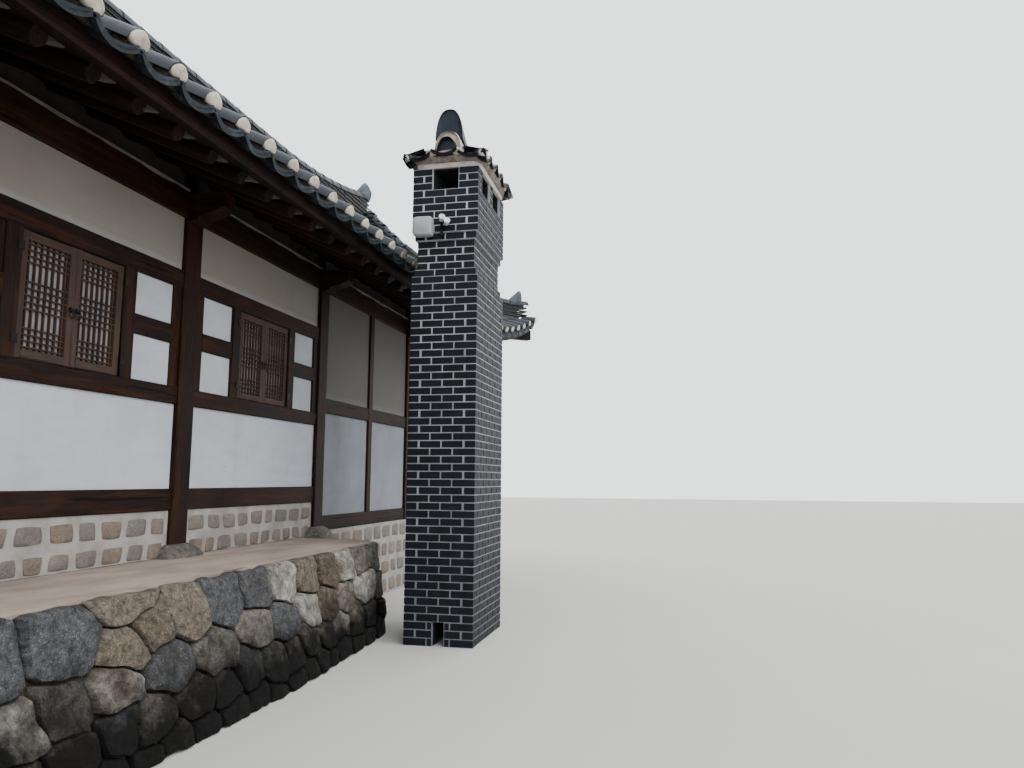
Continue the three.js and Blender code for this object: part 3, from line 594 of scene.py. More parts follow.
@dataclass(frozen=True)
class Plaster(Finish):
    """Trowelled lime plaster: nearly flat, with faint strokes, stains and hairline scratches."""

    clean: str = "#c9cdd3"
    stained: str = "#a7a49e"
    # Colour of the top of the wall, and the heights over which it takes over: painted shade under the eaves
    high: str = "#9b948a"
    high_from: float = 3.1
    high_to: float = 3.25
    stain: float = 0.5
    scratch: str = "#6a655e"

    def paint(self, painter: Painter) -> Surface:
        """Adds strokes, stains and the painted shade of the band under the eaves."""
        place = painter.place
        wide = painter.noise(place, 0.9, 6.0, 0.6)
        strokes = painter.noise(place, 1.6, 7.0, 0.65, 0.5, (2.2, 2.2, 7.0))
        grit = painter.noise(place, 130.0)
        drips = painter.noise(place, 1.0, 4.0, stretch=(9.0, 9.0, 0.8))
        scratches = painter.noise(place, 1.0, distortion=1.5, stretch=(7.0, 7.0, 30.0))
        # Greyer towards the top of the wall: painted shade under the eaves
        band = painter.span(painter.height(), self.high_from, self.high_to)
        eave_shaded = painter.mix(band, self.clean, self.high)
        stained = painter.mix(painter.span(wide, 0.42, 0.74, 0.0, self.stain), eave_shaded, self.stained)
        dripped = painter.mix(painter.span(drips, 0.55, 0.8, 0.0, 0.22), stained, self.stained)
        shaded = painter.shade(dripped, painter.span(strokes, 0.3, 0.7, 0.93, 1.05))
        scratched = painter.mix(painter.span(scratches, 0.745, 0.775, 0.0, 0.45), shaded, self.scratch)
        return Surface(scratched, painter.span(strokes, 0.0, 1.0, 0.8, 0.95),
                       painter.math("MULTIPLY_ADD", grit, 0.25, strokes))


@dataclass(frozen=True)
class FiredClay(Finish):
    """Smoked clay: slate blue to black, chalky where it has weathered, each piece of its own shade."""

    dark: str = "#1d242b"
    middle: str = "#3f4b56"
    light: str = "#6f7f8c"
    chalk: str = "#9aa3a8"
    chalky: float = 0.35
    odd: str = "#3a2724"
    odd_from: float = 2.0
    gloss: Span = (0.42, 0.7)

    def paint(self, painter: Painter) -> Surface:
        """Adds fire marks, chalky bloom and speckles."""
        tone = painter.attribute("tone", "Fac")
        marks = painter.noise(painter.place, 5.0, 6.0, 0.62)
        bloom = painter.noise(painter.place, 13.0, 8.0, 0.7)
        grit = painter.noise(painter.place, 160.0, 3.0)
        base = painter.ramp(painter.blend(0.45, marks, tone), (0.2, self.dark), (0.8, self.light),
                            (0.5, self.middle))
        bloomed = painter.mix(painter.span(bloom, 0.52, 0.72, 0.0, self.chalky), base, self.chalk)
        odd_share = painter.span(tone, self.odd_from, self.odd_from + 0.05)
        shade = painter.span(grit, 0.3, 0.7, 0.88, 1.12)
        return Surface(painter.shade(painter.mix(odd_share, bloomed, self.odd), shade),
                       painter.span(bloom, 0.3, 0.7, *self.gloss),
                       painter.math("MULTIPLY_ADD", grit, 0.3, bloom))


@dataclass(frozen=True)
class FieldStone(Finish):
    """Split granite: each stone of its own colour, flecked, and stained darker towards the ground."""

    shades: tuple[str, ...] = ("#5d656e", "#87827a", "#8f8069", "#6f6862", "#7a6146", "#b9b4aa")
    stain: str = "#15130f"
    stain_top: float = 0.72
    stain_amount: float = 0.85
    fleck: str = "#2b2a2a"
    crystal: str = "#d4d0c8"
    fleck_size: float = 0.009
    pitted: float = 0.6

    def paint(self, painter: Painter) -> Surface:
        """Adds each stone's shade, its flecks, pits and stains."""
        grain, tone = painter.attribute("grain", "Vector"), painter.attribute("tone", "Fac")
        broad = painter.noise(grain, 4.0, 6.0, 0.6)
        chips = painter.noise(grain, 22.0, 9.0, 0.72)
        flecks = painter.noise(painter.place, 1 / self.fleck_size, 3.0, 0.8)
        soil = painter.noise(painter.place, 2.6, 8.0, 0.68)
        last = len(self.shades) - 1
        base = painter.ramp(painter.math("ADD", tone, painter.span(broad, 0.3, 0.7, -0.09, 0.09)),
                            *((i / last, self.shades[i]) for i in (0, last, *range(1, last))))
        flecked = painter.mix(painter.span(flecks, 0.42, 0.36, 0.0, 0.7), base, self.fleck)
        bright = painter.mix(painter.span(flecks, 0.58, 0.68, 0.0, 0.32), flecked, self.crystal)
        wet = painter.math("ADD", painter.span(painter.height(), self.stain_top, 0.1, 0.0, 0.62), soil)
        soiled = painter.mix(painter.span(wet, 0.62, 0.98, 0.0, self.stain_amount), bright, self.stain)
        pits = painter.span(chips, 0.36, 0.62, 1 - self.pitted, 1 + self.pitted / 2)
        shading = painter.math("MULTIPLY", painter.span(broad, 0.3, 0.7, 0.74, 1.2), pits)
        return Surface(painter.shade(soiled, shading), painter.span(flecks, 0.0, 1.0, 0.72, 0.95),
                       painter.math("MULTIPLY_ADD", flecks, 0.12, chips))


@dataclass(frozen=True)
class Mortar(Finish):
    """Lime or earth mortar and rammed earth: matt, grainy and blotched."""

    light: str = "#c6bfb2"
    dark: str = "#968d80"
    speck: str = "#6d655b"
    size: float = 0.35
    streak: float = 1.0
    # How much darker it is made towards the ground, and how high that reaches
    foot: float = 1.0
    foot_top: float = 3.6

    def paint(self, painter: Painter) -> Surface:
        """Adds blotches, grain, specks and the darkening towards the ground."""
        blotch = painter.noise(painter.place, 1 / self.size, 8.0, 0.62,
                               stretch=(1.0, self.streak, self.streak))
        grit = painter.noise(painter.place, 90.0, 4.0, 0.7)
        base = painter.ramp(blotch, (0.32, self.dark), (0.62, self.light))
        colour = painter.mix(painter.span(grit, 0.36, 0.3, 0.0, 0.6), base, self.speck)
        if self.foot < 1:
            shade = painter.span(painter.height(), 0.2, self.foot_top, self.foot, 1.0)
            colour = painter.mix(1.0, colour, shade, blend_type="MULTIPLY")
        return Surface(colour, painter.span(grit, 0.0, 1.0, 0.85, 0.97),
                       painter.math("MULTIPLY_ADD", grit, 0.3, blotch))


class Finishes:
    """The house's finishes."""

    # Old pine rubbed with oil: dark red-brown, greyed where rain reaches it
    house_pine = Wood("oiled_pine", 0.003, dark="#080302", middle="#1a0d07", light="#351c0f",
                      weathered="#37261b", weather=0.3, specular=0.1)
    # Rafters and eave boards: the same pine, redder and out of the rain
    eave_pine = Wood("eave_pine", 0.003, dark="#050202", middle="#170a0a", light="#2c1717",
                     weathered="#271617", weather=0.3, specular=0.12)
    # Window joinery: bare pine, drier and paler
    window_pine = Wood("bare_pine", 0.0015, dark="#160e0a", middle="#301d14", light="#483325",
                       weathered="#493b30", weather=0.45, gloss=(0.6, 0.85))
    # Lime plaster on earth: cool white below, greyer under the eaves as painted shade
    lime_plaster = Plaster("lime_plaster", 0.0012, clean="#a8acb3", stained="#87847f", high="#7b746c")
    # The same plaster in the far bays, darker all over as painted shade from the chimney and the house, with
    # stains, and darker still from 2.2 m up as painted shade under the eaves
    far_plaster = Plaster("damp_plaster", 0.0012, clean="#74787f", stained="#55524e", high="#4f4b47",
                          high_from=2.2, high_to=2.5, stain=0.7)
    # Earth and lime pressed between the rafters, near black as painted shade
    eave_plaster = Mortar("eave_plaster", 0.003, light="#2b2421", dark="#171211", speck="#100d0c")
    # The same plaster at the rafters' ends, paler as painted light from below
    tip_plaster = Mortar("dusty_plaster", 0.003, light="#4b4541", dark="#332e2b")
    # The pale line of plaster along the top of the wall plate
    bead_plaster = Mortar("bead_plaster", 0.003, light="#756f67", dark="#4d4842")
    # Smoked clay roof tile, slate blue with a chalky bloom
    roof_tile = FiredClay("smoked_clay_tile", 0.002, dark="#070a0f", middle="#10171e", light="#26303a",
                          chalk="#4b5661", chalky=0.2)
    # Cover tiles: smoother and paler, blue-grey, washed by rain
    cover_tile = FiredClay("washed_clay_tile", 0.0015, dark="#0c1117", middle="#1a232c", light="#384450",
                           chalk="#5d6873", chalky=0.28, gloss=(0.35, 0.6))
    # Lowest flat tiles, whose edges show pale against the hollows
    lip_tile = FiredClay("eave_clay_tile", 0.0015, dark="#0c1116", middle="#1a2229", light="#37424c",
                         chalk="#66717a", chalky=0.35)
    # Leaf-shaped end tiles, mottled blue-grey
    leaf_tile = FiredClay("mottled_clay_tile", 0.002, dark="#20272e", middle="#3a444e", light="#5c6772",
                          chalk="#7d848a", chalky=0.5)
    # Tiles on the chimney, darkened by smoke
    cap_tile = FiredClay("sooted_clay_tile", 0.0015, dark="#080b10", middle="#10161d", light="#1f2832",
                         chalk="#3a444f", chalky=0.2, gloss=(0.4, 0.6), specular=0.2)
    # Soot inside the chimney, near black also as painted shade in the vents and the flue
    soot = FiredClay("soot", 0.002, dark="#060606", middle="#0c0b0b", light="#141211", chalk="#1d1a18",
                     gloss=(0.8, 0.95))
    # Lime plug at the mouth of each cover tile: warm grey white
    lime_plug = Mortar("lime_plug", 0.003, light="#bcb3a6", dark="#8d857a", size=0.06)
    # Lime and earth under the ridges
    ridge_mortar = Mortar("ridge_mortar", 0.004, light="#403b36", dark="#26221f", size=0.12)
    # Split field granite of the platform
    field_granite = FieldStone("split_granite", 0.03,
                               shades=("#4a4b4d", "#403e3d", "#625d56", "#675f52", "#483b2f", "#98948d"),
                               stain="#040302", stain_top=0.7, stain_amount=0.98, specular=0.15)
    # Earth packed between the platform's stones
    packed_earth = Mortar("packed_earth", 0.01, light="#3a3229", dark="#1a1511", size=0.12, specular=0.15)
    # Rammed lime and earth on the platform, trodden smooth
    lime_earth = Mortar("lime_earth", 0.002, light="#8d7f72", dark="#70645a", speck="#62574d", size=0.8,
                        streak=2.6)
    # Squared stones of the house's base: tan, pink and grey granite
    base_stone = FieldStone("squared_granite", 0.006,
                            shades=("#5f5b58", "#685e57", "#695b4e", "#635d58", "#6b655b", "#5e5956"),
                            stain="#6a5f54", stain_top=0.2, stain_amount=0.25, fleck_size=0.007, pitted=0.2)
    # Wide white joints round them
    base_mortar = Mortar("white_mortar", 0.003, light="#918e89", dark="#76716a", size=0.2)
    # Foundation stones under the posts: dark, worn granite
    pad_stone = FieldStone("worn_granite", 0.008, shades=("#4a4540", "#57514a", "#403b37"), stain_top=0.1,
                           stain_amount=0.2)
    # Smoked brick of the chimney: near black, a few burnt red
    black_brick = FiredClay("smoked_brick", 0.0015, dark="#04050a", middle="#090b10", light="#13161e",
                            chalk="#282c34", chalky=0.3, odd="#21151a", odd_from=0.93,
                            gloss=(0.45, 0.7), specular=0.15)
    # Pale lime joints between the bricks, darker towards the ground
    brick_joint = Mortar("brick_joint", 0.002, light="#a5a8ad", dark="#7b7e84", size=0.25, specular=0.15,
                         foot=0.42)
    # Lime band under the chimney's cap
    cap_lime = Mortar("cap_lime", 0.003, light="#b9b5ae", dark="#969087", size=0.12)
    # Earth and lime bed of the cap's tiles
    cap_bed = Mortar("cap_bed", 0.005, light="#8a7d76", dark="#5f5651", size=0.06)
    # Clay floor under oiled paper, inside
    clay_floor = Mortar("clay_floor", 0.002, light="#b1945f", dark="#94784a", speck="#806539", size=0.9)
    # Mulberry paper behind the window bars
    window_paper = Mortar("mulberry_paper", 0.0006, light="#878689", dark="#6e6d70", speck="#857b6e",
                          size=0.25)
    # Forged iron of the hinges and pulls
    iron = FiredClay("forged_iron", 0.0008, dark="#060505", middle="#0c0a0a", light="#171413",
                     chalk="#241a15", chalky=0.4, gloss=(0.4, 0.6), specular=0.15)
    # Galvanised steel of the small box on the chimney
    zinc = FiredClay("galvanised_steel", 0.0004, dark="#787c7e", middle="#85898b", light="#929698",
                     chalk="#9da1a3", chalky=0.3, gloss=(0.35, 0.5))
    # Lamp glass
    lamp_glass = FiredClay("frosted_glass", 0.0004, dark="#9fa3a6", middle="#b9bcbe", light="#cfd1d2",
                           chalk="#dcdedf", gloss=(0.15, 0.25))
    # Studio floor
    studio = Mortar("studio_floor", 0.0001, light="#b4b2ae", dark="#b1afab", speck="#afada9", size=4.0)


# Laying copies with Geometry Nodes

@dataclass(frozen=True)
class Guide:
    """Where one copy lies: its middle, the way its top faces, the way it runs, and its stretch."""

    place: Vector
    facing: Vector
    run: Vector
    stretch: Vector = field(default_factory=lambda: Vector((1.0, 1.0, 1.0)))


class Layer:
    """Lays copies of one shape on guide points, with a Geometry Nodes tree."""

    def __init__(self) -> None:
        """Builds the tree once."""
        tree = bpy.data.node_groups.new("lay_copies", "GeometryNodeTree")
        kinds = {"Guides": "Geometry", "Piece": "Object", "Unevenness": "Float", "Tilt": "Float",
                 "Seed": "Int", "Finish": "Material"}
        self.tree = tree
        self.keys = {name: tree.interface.new_socket(name=name, in_out="INPUT",
                                                     socket_type=f"NodeSocket{kind}").identifier
                     for name, kind in kinds.items()}
        tree.interface.new_socket(name="Laid", in_out="OUTPUT", socket_type="NodeSocketGeometry")

        def add(kind: str, output: str | int, inputs: dict[str | int, Any], **settings: Any) -> Socket:
            """Adds a node and gives one of its outputs."""
            return add_node(tree, kind, inputs, **settings).outputs[output]

        def sum_up(operation: str, first: Socket | float, second: Socket | float) -> Socket:
            """Adds a sum or a product."""
            return add("ShaderNodeMath", 0, {0: first, 1: second}, operation=operation)

        def draw(low: Socket | float, high: Socket | float, seed: Socket) -> Socket:
            """Adds a random number for each copy."""
            return add("FunctionNodeRandomValue", 1, {2: low, 3: high, "Seed": seed})

        given = add_node(tree, "NodeGroupInput").outputs
        uneven, tilt, seed = given["Unevenness"], given["Tilt"], given["Seed"]
        facing, run, stretch = (add("GeometryNodeInputNamedAttribute", 0, {"Name": name},
                                    data_type="FLOAT_VECTOR") for name in ("facing", "run", "stretch"))
        turned = add("FunctionNodeAxesToRotation", 0, {0: facing, 1: run}, primary_axis="Z",
                     secondary_axis="Y")
        shape = add("GeometryNodeObjectInfo", "Geometry", {"Object": given["Piece"]})
        size = draw(sum_up("SUBTRACT", 1.0, uneven), sum_up("ADD", 1.0, uneven), seed)
        scale = add("ShaderNodeVectorMath", 0, {0: stretch, "Scale": size}, operation="SCALE")
        laid = add("GeometryNodeInstanceOnPoints", 0, {"Points": given["Guides"], "Instance": shape,
                                                       "Rotation": turned, "Scale": scale})
        tip = draw(sum_up("MULTIPLY", tilt, -1.0), tilt, sum_up("ADD", seed, 11.0))
        turn = add("ShaderNodeCombineXYZ", 0, {"X": tip, "Z": tip})
        tilted = add("GeometryNodeRotateInstances", 0, {"Instances": laid, "Rotation": turn})
        tone = draw(0.0, 1.0, sum_up("ADD", seed, 23.0))
        stored = add("GeometryNodeStoreNamedAttribute", 0, {"Name": "tone", "Geometry": tilted,
                                                            "Value": tone},
                     data_type="FLOAT", domain="INSTANCE")
        real = add("GeometryNodeRealizeInstances", 0, {0: stored})
        dressed = add("GeometryNodeSetMaterial", 0, {"Geometry": real, "Material": given["Finish"]})
        add_node(tree, "NodeGroupOutput", {0: dressed})

    def lay(self, name: str, guides: Sequence[Guide], piece: Shell, finish: Finish, seed: int = 1,
            uneven: float = 0.01, tilt: float = 0.0, smooth: float | None = None) -> bpy.types.Object:
        """Lays the copies and bakes them into one plain mesh.

        Args:
            name: the new object's name.
            guides: where the copies lie.
            piece: the shape of one copy, lying along Y with its top towards Z.
            finish: what it is made of.
            seed: fixes the tree's random draws.
            uneven: how much the copies' sizes differ.
            tilt: how far they are turned from true, in radians.
            smooth: as in Shell.build.

        Returns:
            The baked object.
        """
        template = piece.build(name + "_copy", finish, smooth)
        mesh = bpy.data.meshes.new(name + "_guides")
        mesh.from_pydata([g.place[:] for g in guides], [], [])
        for key in ("facing", "run", "stretch"):
            attribute = mesh.attributes.new(key, "FLOAT_VECTOR", "POINT")
            attribute.data.foreach_set("vector", [c for g in guides for c in getattr(g, key)])
        points = link(bpy.data.objects.new(name + "_guides", mesh))
        modifier = points.modifiers.new("lay", "NODES")
        modifier.node_group = self.tree
        for key, value in (("Piece", template), ("Unevenness", uneven), ("Tilt", tilt), ("Seed", seed),
                           ("Finish", finish.material())):
            modifier[self.keys[key]] = value
        evaluated = points.evaluated_get(bpy.context.evaluated_depsgraph_get())
        baked = bpy.data.meshes.new_from_object(evaluated)
        baked.name = name
        laid = link(bpy.data.objects.new(name, baked))
        for spare in (points, template):
            spare_mesh = spare.data
            bpy.data.objects.remove(spare)
            bpy.data.meshes.remove(spare_mesh)
        return laid


# Measures

@dataclass(frozen=True)
class Plan:
    """The house's main places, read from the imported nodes."""

    axis_y: float
    posts: tuple[float, ...]
    half_depth: float = 1.225
    post: float = 0.21
    rail: Span = (-0.08, 0.088)
    plaster_out: float = 0.063

    @classmethod
    def read(cls) -> "Plan":
        """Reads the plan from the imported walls."""
        low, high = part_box("main_ridge")
        walls = [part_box(f"front_wall_{k}") for k in range(1, 6)]
        inner = [(a[1].x + b[0].x) / 2 for a, b in zip(walls, walls[1:])]
        half_post = cls.post / 2
        posts = (walls[0][0].x - half_post, *inner, walls[-1][1].x + half_post)
        return cls((low.y + high.y) / 2, posts)

    @property
    def half_length(self) -> float:
        """From the middle of the house to its end posts."""
        return (self.posts[-1] - self.posts[0]) / 2

    @property
    def middle(self) -> Vector:
        """The middle of the house on the ground."""
        return Vector(((self.posts[0] + self.posts[-1]) / 2, self.axis_y, 0.0))

    def on_wall(self, side: Side, along: float, out: float, z: float) -> Vector:
        """A point by a wall.

        Args:
            side: the wall.
            along: X on a long wall, or the distance from the house's axis on an end wall.
            out: distance outwards from the line of the posts.
            z: height.

        Returns:
            The point.
        """
        if side in LONG_SIDES:
            return Vector((along, self.axis_y + side.outward.y * (self.half_depth + out), z))
        return Vector((side.outward.x * (self.half_length + out), self.axis_y + along, z))

    def wall_place(self, side: Side, out: float) -> Place:
        """A function that places points on a wall's face, at a distance out from the posts' line."""
        return lambda along, z, proud: self.on_wall(side, along, out + proud, z)


def z_range(node: str) -> Span:
    """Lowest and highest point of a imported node."""
    low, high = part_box(node)
    return low.z, high.z


# Roof

@dataclass(frozen=True)
class Slope:
    """One side of the roof: its tile bed curves up from the eave, and its corners lift and flare."""

    plan: Plan
    side: Side
    eave: float = 1.3
    gable: float = 1.75
    bed_foot: float = 3.7
    pitch: float = 0.52
    sag: float = 0.075
    lift: float = 0.74
    flare: float = 0.2
    lift_reach: float = 3.2
    crest_lift: float = 0.34
    crest_level: float = 0.45
    under_foot: float = 3.675
    under_pitch: float = 0.45
    under_start: float = 0.285
    depth: float = 0.35

    @property
    def half_along(self) -> float:
        """Half the length of this eave."""
        half = self.plan.half_length if self.side in LONG_SIDES else self.plan.half_depth
        return half + self.eave

    @property
    def half_across(self) -> float:
        """From the middle of the house to this eave."""
        half = self.plan.half_depth if self.side in LONG_SIDES else self.plan.half_length
        return half + self.eave

    def limit(self, along: float) -> float:
        """How far up the slope goes at a place along its eave."""
        hip = self.half_along - abs(along)
        if self.side in END_SIDES:
            return min(self.gable, hip)
        return hip if hip < self.gable else self.half_across

    def bed(self, run: float, out: float = 0.0) -> float:
        """Height of the tile bed.

        Args:
            run: distance in from the middle of the eave.
            out: distance from the house's middle along the ridge, which climbs towards the gables.

        Returns:
            The height.
        """
        gable_out = self.plan.half_length + self.eave - self.gable
        crest_run = self.plan.half_depth + self.eave
        climb = min(1.0, max(0.0, out / gable_out - self.crest_level) / (1 - self.crest_level))
        climbed = self.crest_lift * (run / crest_run) ** 2 * climb * climb
        return self.bed_foot + self.pitch * run + self.sag * run * run + climbed

    def underside(self, run: float) -> float:
        """Height of the boards under the roof."""
        if run < self.eave:
            return self.under_foot + self.under_pitch * (run - self.under_start)
        return self.bed(run) - self.depth

    def at(self, along: float, run: float, z: float) -> Vector:
        """A point whose height at the middle of the eave would be z.

        Args:
            along: place along the eave, from its middle.
            run: distance in from the eave.
            z: height before the corner's lift.

        Returns:
            The point, lifted and flared towards the corner.
        """
        near = max(0.0, 1 - run / self.lift_reach) ** 2
        near *= max(0.0, 1 - (self.half_along - abs(along)) / self.lift_reach) ** 2
        sideways = along + math.copysign(self.flare * near, along)
        flat = self.side.along * sideways
        flat += self.side.outward * (self.half_across - run + self.flare * near)
        return self.plan.middle + flat + UP * (z + self.lift * near)

    def on_bed(self, along: float, run: float, above: float = 0.0) -> Vector:
        """A point over the tile bed."""
        out = abs(along) if self.side in LONG_SIDES else self.half_across - run
        return self.at(along, run, self.bed(run, out) + above)

    def below(self, along: float, run: float, lower: float = 0.0) -> Vector:
        """A point below the boards."""
        return self.at(along, run, self.underside(run) - lower)

    def guide(self, along: float, run: float, above: float, length: float, piece: float) -> Guide:
        """A guide for a tile that lies up the slope.

        Args:
            along: place along the eave.
            run: where its lower end lies.
            above: height over the bed.
            length: how much of the slope it covers.
            piece: its own length, as modelled.

        Returns:
            The guide, at the tile's lower end.
        """
        start = self.on_bed(along, run, above)
        uphill = (self.on_bed(along, run + 0.2, above) - start).normalized()
        sideways = self.on_bed(along + 0.02, run, above) - self.on_bed(along - 0.02, run, above)
        facing = sideways.cross(uphill)
        if facing.z < 0:
            facing = -facing
        return Guide(start, facing.normalized(), uphill, Vector((1.0, length / piece, 1.0)))


def arched_tile(radius: float, sweep: float, length: float, thick: float, segments: int,
                lower_scale: float = 1.0, droop: float = 0.0) -> Shell:
    """Makes an arched tile that runs along Y from its lower end, arched over or hollow upwards.

    Args:
        radius: outer radius; a negative one makes the tile hollow side up.
        sweep: angle of its arc, in degrees.
        length: along Y.
        thick: of its wall.
        segments: faces round the arc.
        lower_scale: its section at the lower end against that at the upper end.
        droop: how much higher the lower end lies, to ride on the tile below.

    Returns:
        The tile, its arc's lowest or highest line over x = 0.
    """
    tile = Shell()
    half = math.radians(sweep) / 2
    size = abs(radius)
    sign = 1 if radius > 0 else -1
    rings = []
    for share in (0.0, 1.0):
        scale = lower_scale + (1 - lower_scale) * share
        ring = []
        for reach, order in ((size, 1), (size - thick, -1)):
            for i in range(segments + 1)[::order]:
                angle = -half + 2 * half * i / segments
                rise = sign * (math.cos(angle) * reach - size * (0 if sign > 0 else 1))
                ring.append(Vector((math.sin(angle) * reach * scale, share * length,
                                    rise * scale + droop * (1 - share))))
        rings.append(ring)
    count = len(rings[0])
    outer = segments + 1
    points = rings[0] + rings[1]
    faces = [(i, (i + 1) % count, count + (i + 1) % count, count + i) for i in range(count)]
    for end in (0, count):
        for i in range(segments):
            quad = (end + i, end + i + 1, end + 2 * outer - 2 - i, end + 2 * outer - 1 - i)
            faces.append(quad if end else quad[::-1])
    tile.add(points, faces)
    return tile


@dataclass
class RoofTiles:
    """Flat tiles in hollow columns, with round cover tiles over their joints and plugs at the eave."""

    layer: Layer
    spacing: float = 0.3305
    cover_radius: float = 0.076
    cover_length: float = 0.30
    cover_step: float = 0.27
    flat_radius: float = 0.24
    flat_sweep: float = 82.0
    flat_length: float = 0.27
    flat_step: float = 0.125
    flat_thick: float = 0.017
    flat_above: float = -0.05
    cover_above: float = 0.03
    lip_drop: float = 0.022
    # Section of the earth that beds each cover tile, across and up; its near black earth also stands as
    # painted shadow in the slot under the cover
    bed_section: tuple[Span, ...] = ((-0.058, -0.068), (0.058, -0.068),
                                                        (0.062, 0.01), (-0.062, 0.01))
    plug_rise: float = 0.01
    plug_belly: float = 0.3

    def columns(self, slope: Slope) -> list[float]:
        """Places of the cover tiles along an eave, one of them at its middle."""
        side = int((slope.half_along - 0.12) / self.spacing)
        return spread(2 * side + 1, self.spacing)

    def rows(self, slope: Slope, along: float, step: float, length: float, above: float) -> list[Guide]:
        """Guides up one column, the last tile cut short at the hip or the ridge."""
        guides = []
        top = slope.limit(along) - 0.02
        for i in range(math.ceil(top / step)):
            run = i * step
            reach = min(length, top - run)
            if reach > 0.05:
                guides.append(slope.guide(along, run, above, reach, length))
        return guides

    def plug(self) -> Shell:
        """A lime plug: an uneven dome in the mouth of a cover tile."""
        shell = Shell(5)
        radius = self.cover_radius * 0.93
        rings = []
        for reach, out in ((0.92, -0.04), (1.0, 0.0), (0.98, 0.007), (0.88, 0.014), (0.62, 0.019),
                           (0.3, 0.021)):
            ring = []
            for angle in steps_between(0.0, 2 * math.pi, 0.36)[:-1]:
                lump = reach * (1 + 0.04 * math.sin(3 * angle + 1) + 0.03 * math.sin(5 * angle))
                rise = math.sin(angle) * (1.0 if angle < math.pi else self.plug_belly)
                ring.append(Vector((math.cos(angle) * radius * lump, -out,
                                    self.plug_rise + rise * radius * lump)))
            rings.append(ring)
        shell.loft(rings)
        return shell

    def build(self, slopes: Sequence[Slope]) -> None:
        """Lays every slope's tiles."""
        cover = arched_tile(self.cover_radius, COVER_SWEEP, self.cover_length, 0.014, 8, 1.06, 0.006)
        flat, lip = (arched_tile(-self.flat_radius, self.flat_sweep, self.flat_length, self.flat_thick,
                                 segments, 1.0, droop) for segments, droop in ((6, 0.03), (12, 0.0)))
        bed = Shell()
        bed.loft([[Vector((x, y, z)) for x, z in self.bed_section] for y in (self.cover_length, 0.012)])
        plugs: list[Guide] = []
        for number, slope in enumerate(slopes):
            side = slope.side.label
            node = f"{side}_tiles" if slope.side in LONG_SIDES else f"{side}_end_tiles"
            covers: list[Guide] = []
            flats: list[Guide] = []
            lips: list[Guide] = []
            for along in self.columns(slope):
                covers += self.rows(slope, along, self.cover_step, self.cover_length, self.cover_above)
                plugs.append(slope.guide(along, 0.0, self.cover_above, 1.0, 1.0))
            for along in spread(len(self.columns(slope)) + 1, self.spacing):
                if slope.limit(along) > 0.1:
                    column = self.rows(slope, along, self.flat_step, self.flat_length, self.flat_above)
                    reach = min(0.2, slope.limit(along))
                    flats += column[1:]
                    lips += [column[0], slope.guide(along, -0.002, self.flat_above - self.lip_drop,
                                                    reach, self.flat_length)]
            for kind, guides, shape, finish, seed in (
                    ("cover", covers, cover, Finishes.cover_tile, 3),
                    ("flat", flats, flat, Finishes.roof_tile, 13),
                    ("lip", lips, lip, Finishes.lip_tile, 17),
                    ("bedding", covers, bed, Finishes.packed_earth, 25)):
                piece = self.layer.lay(f"{side}_{kind}_tiles", guides, shape, finish, seed + number,
                                       0.01, 0.012, 50)
                put(piece, "roof_tile", node)
        piece = self.layer.lay("eave_plugs", plugs, self.plug(), Finishes.lime_plug, 21, 0.05, 0.06, 50)
        put(piece, "lime_mortar")


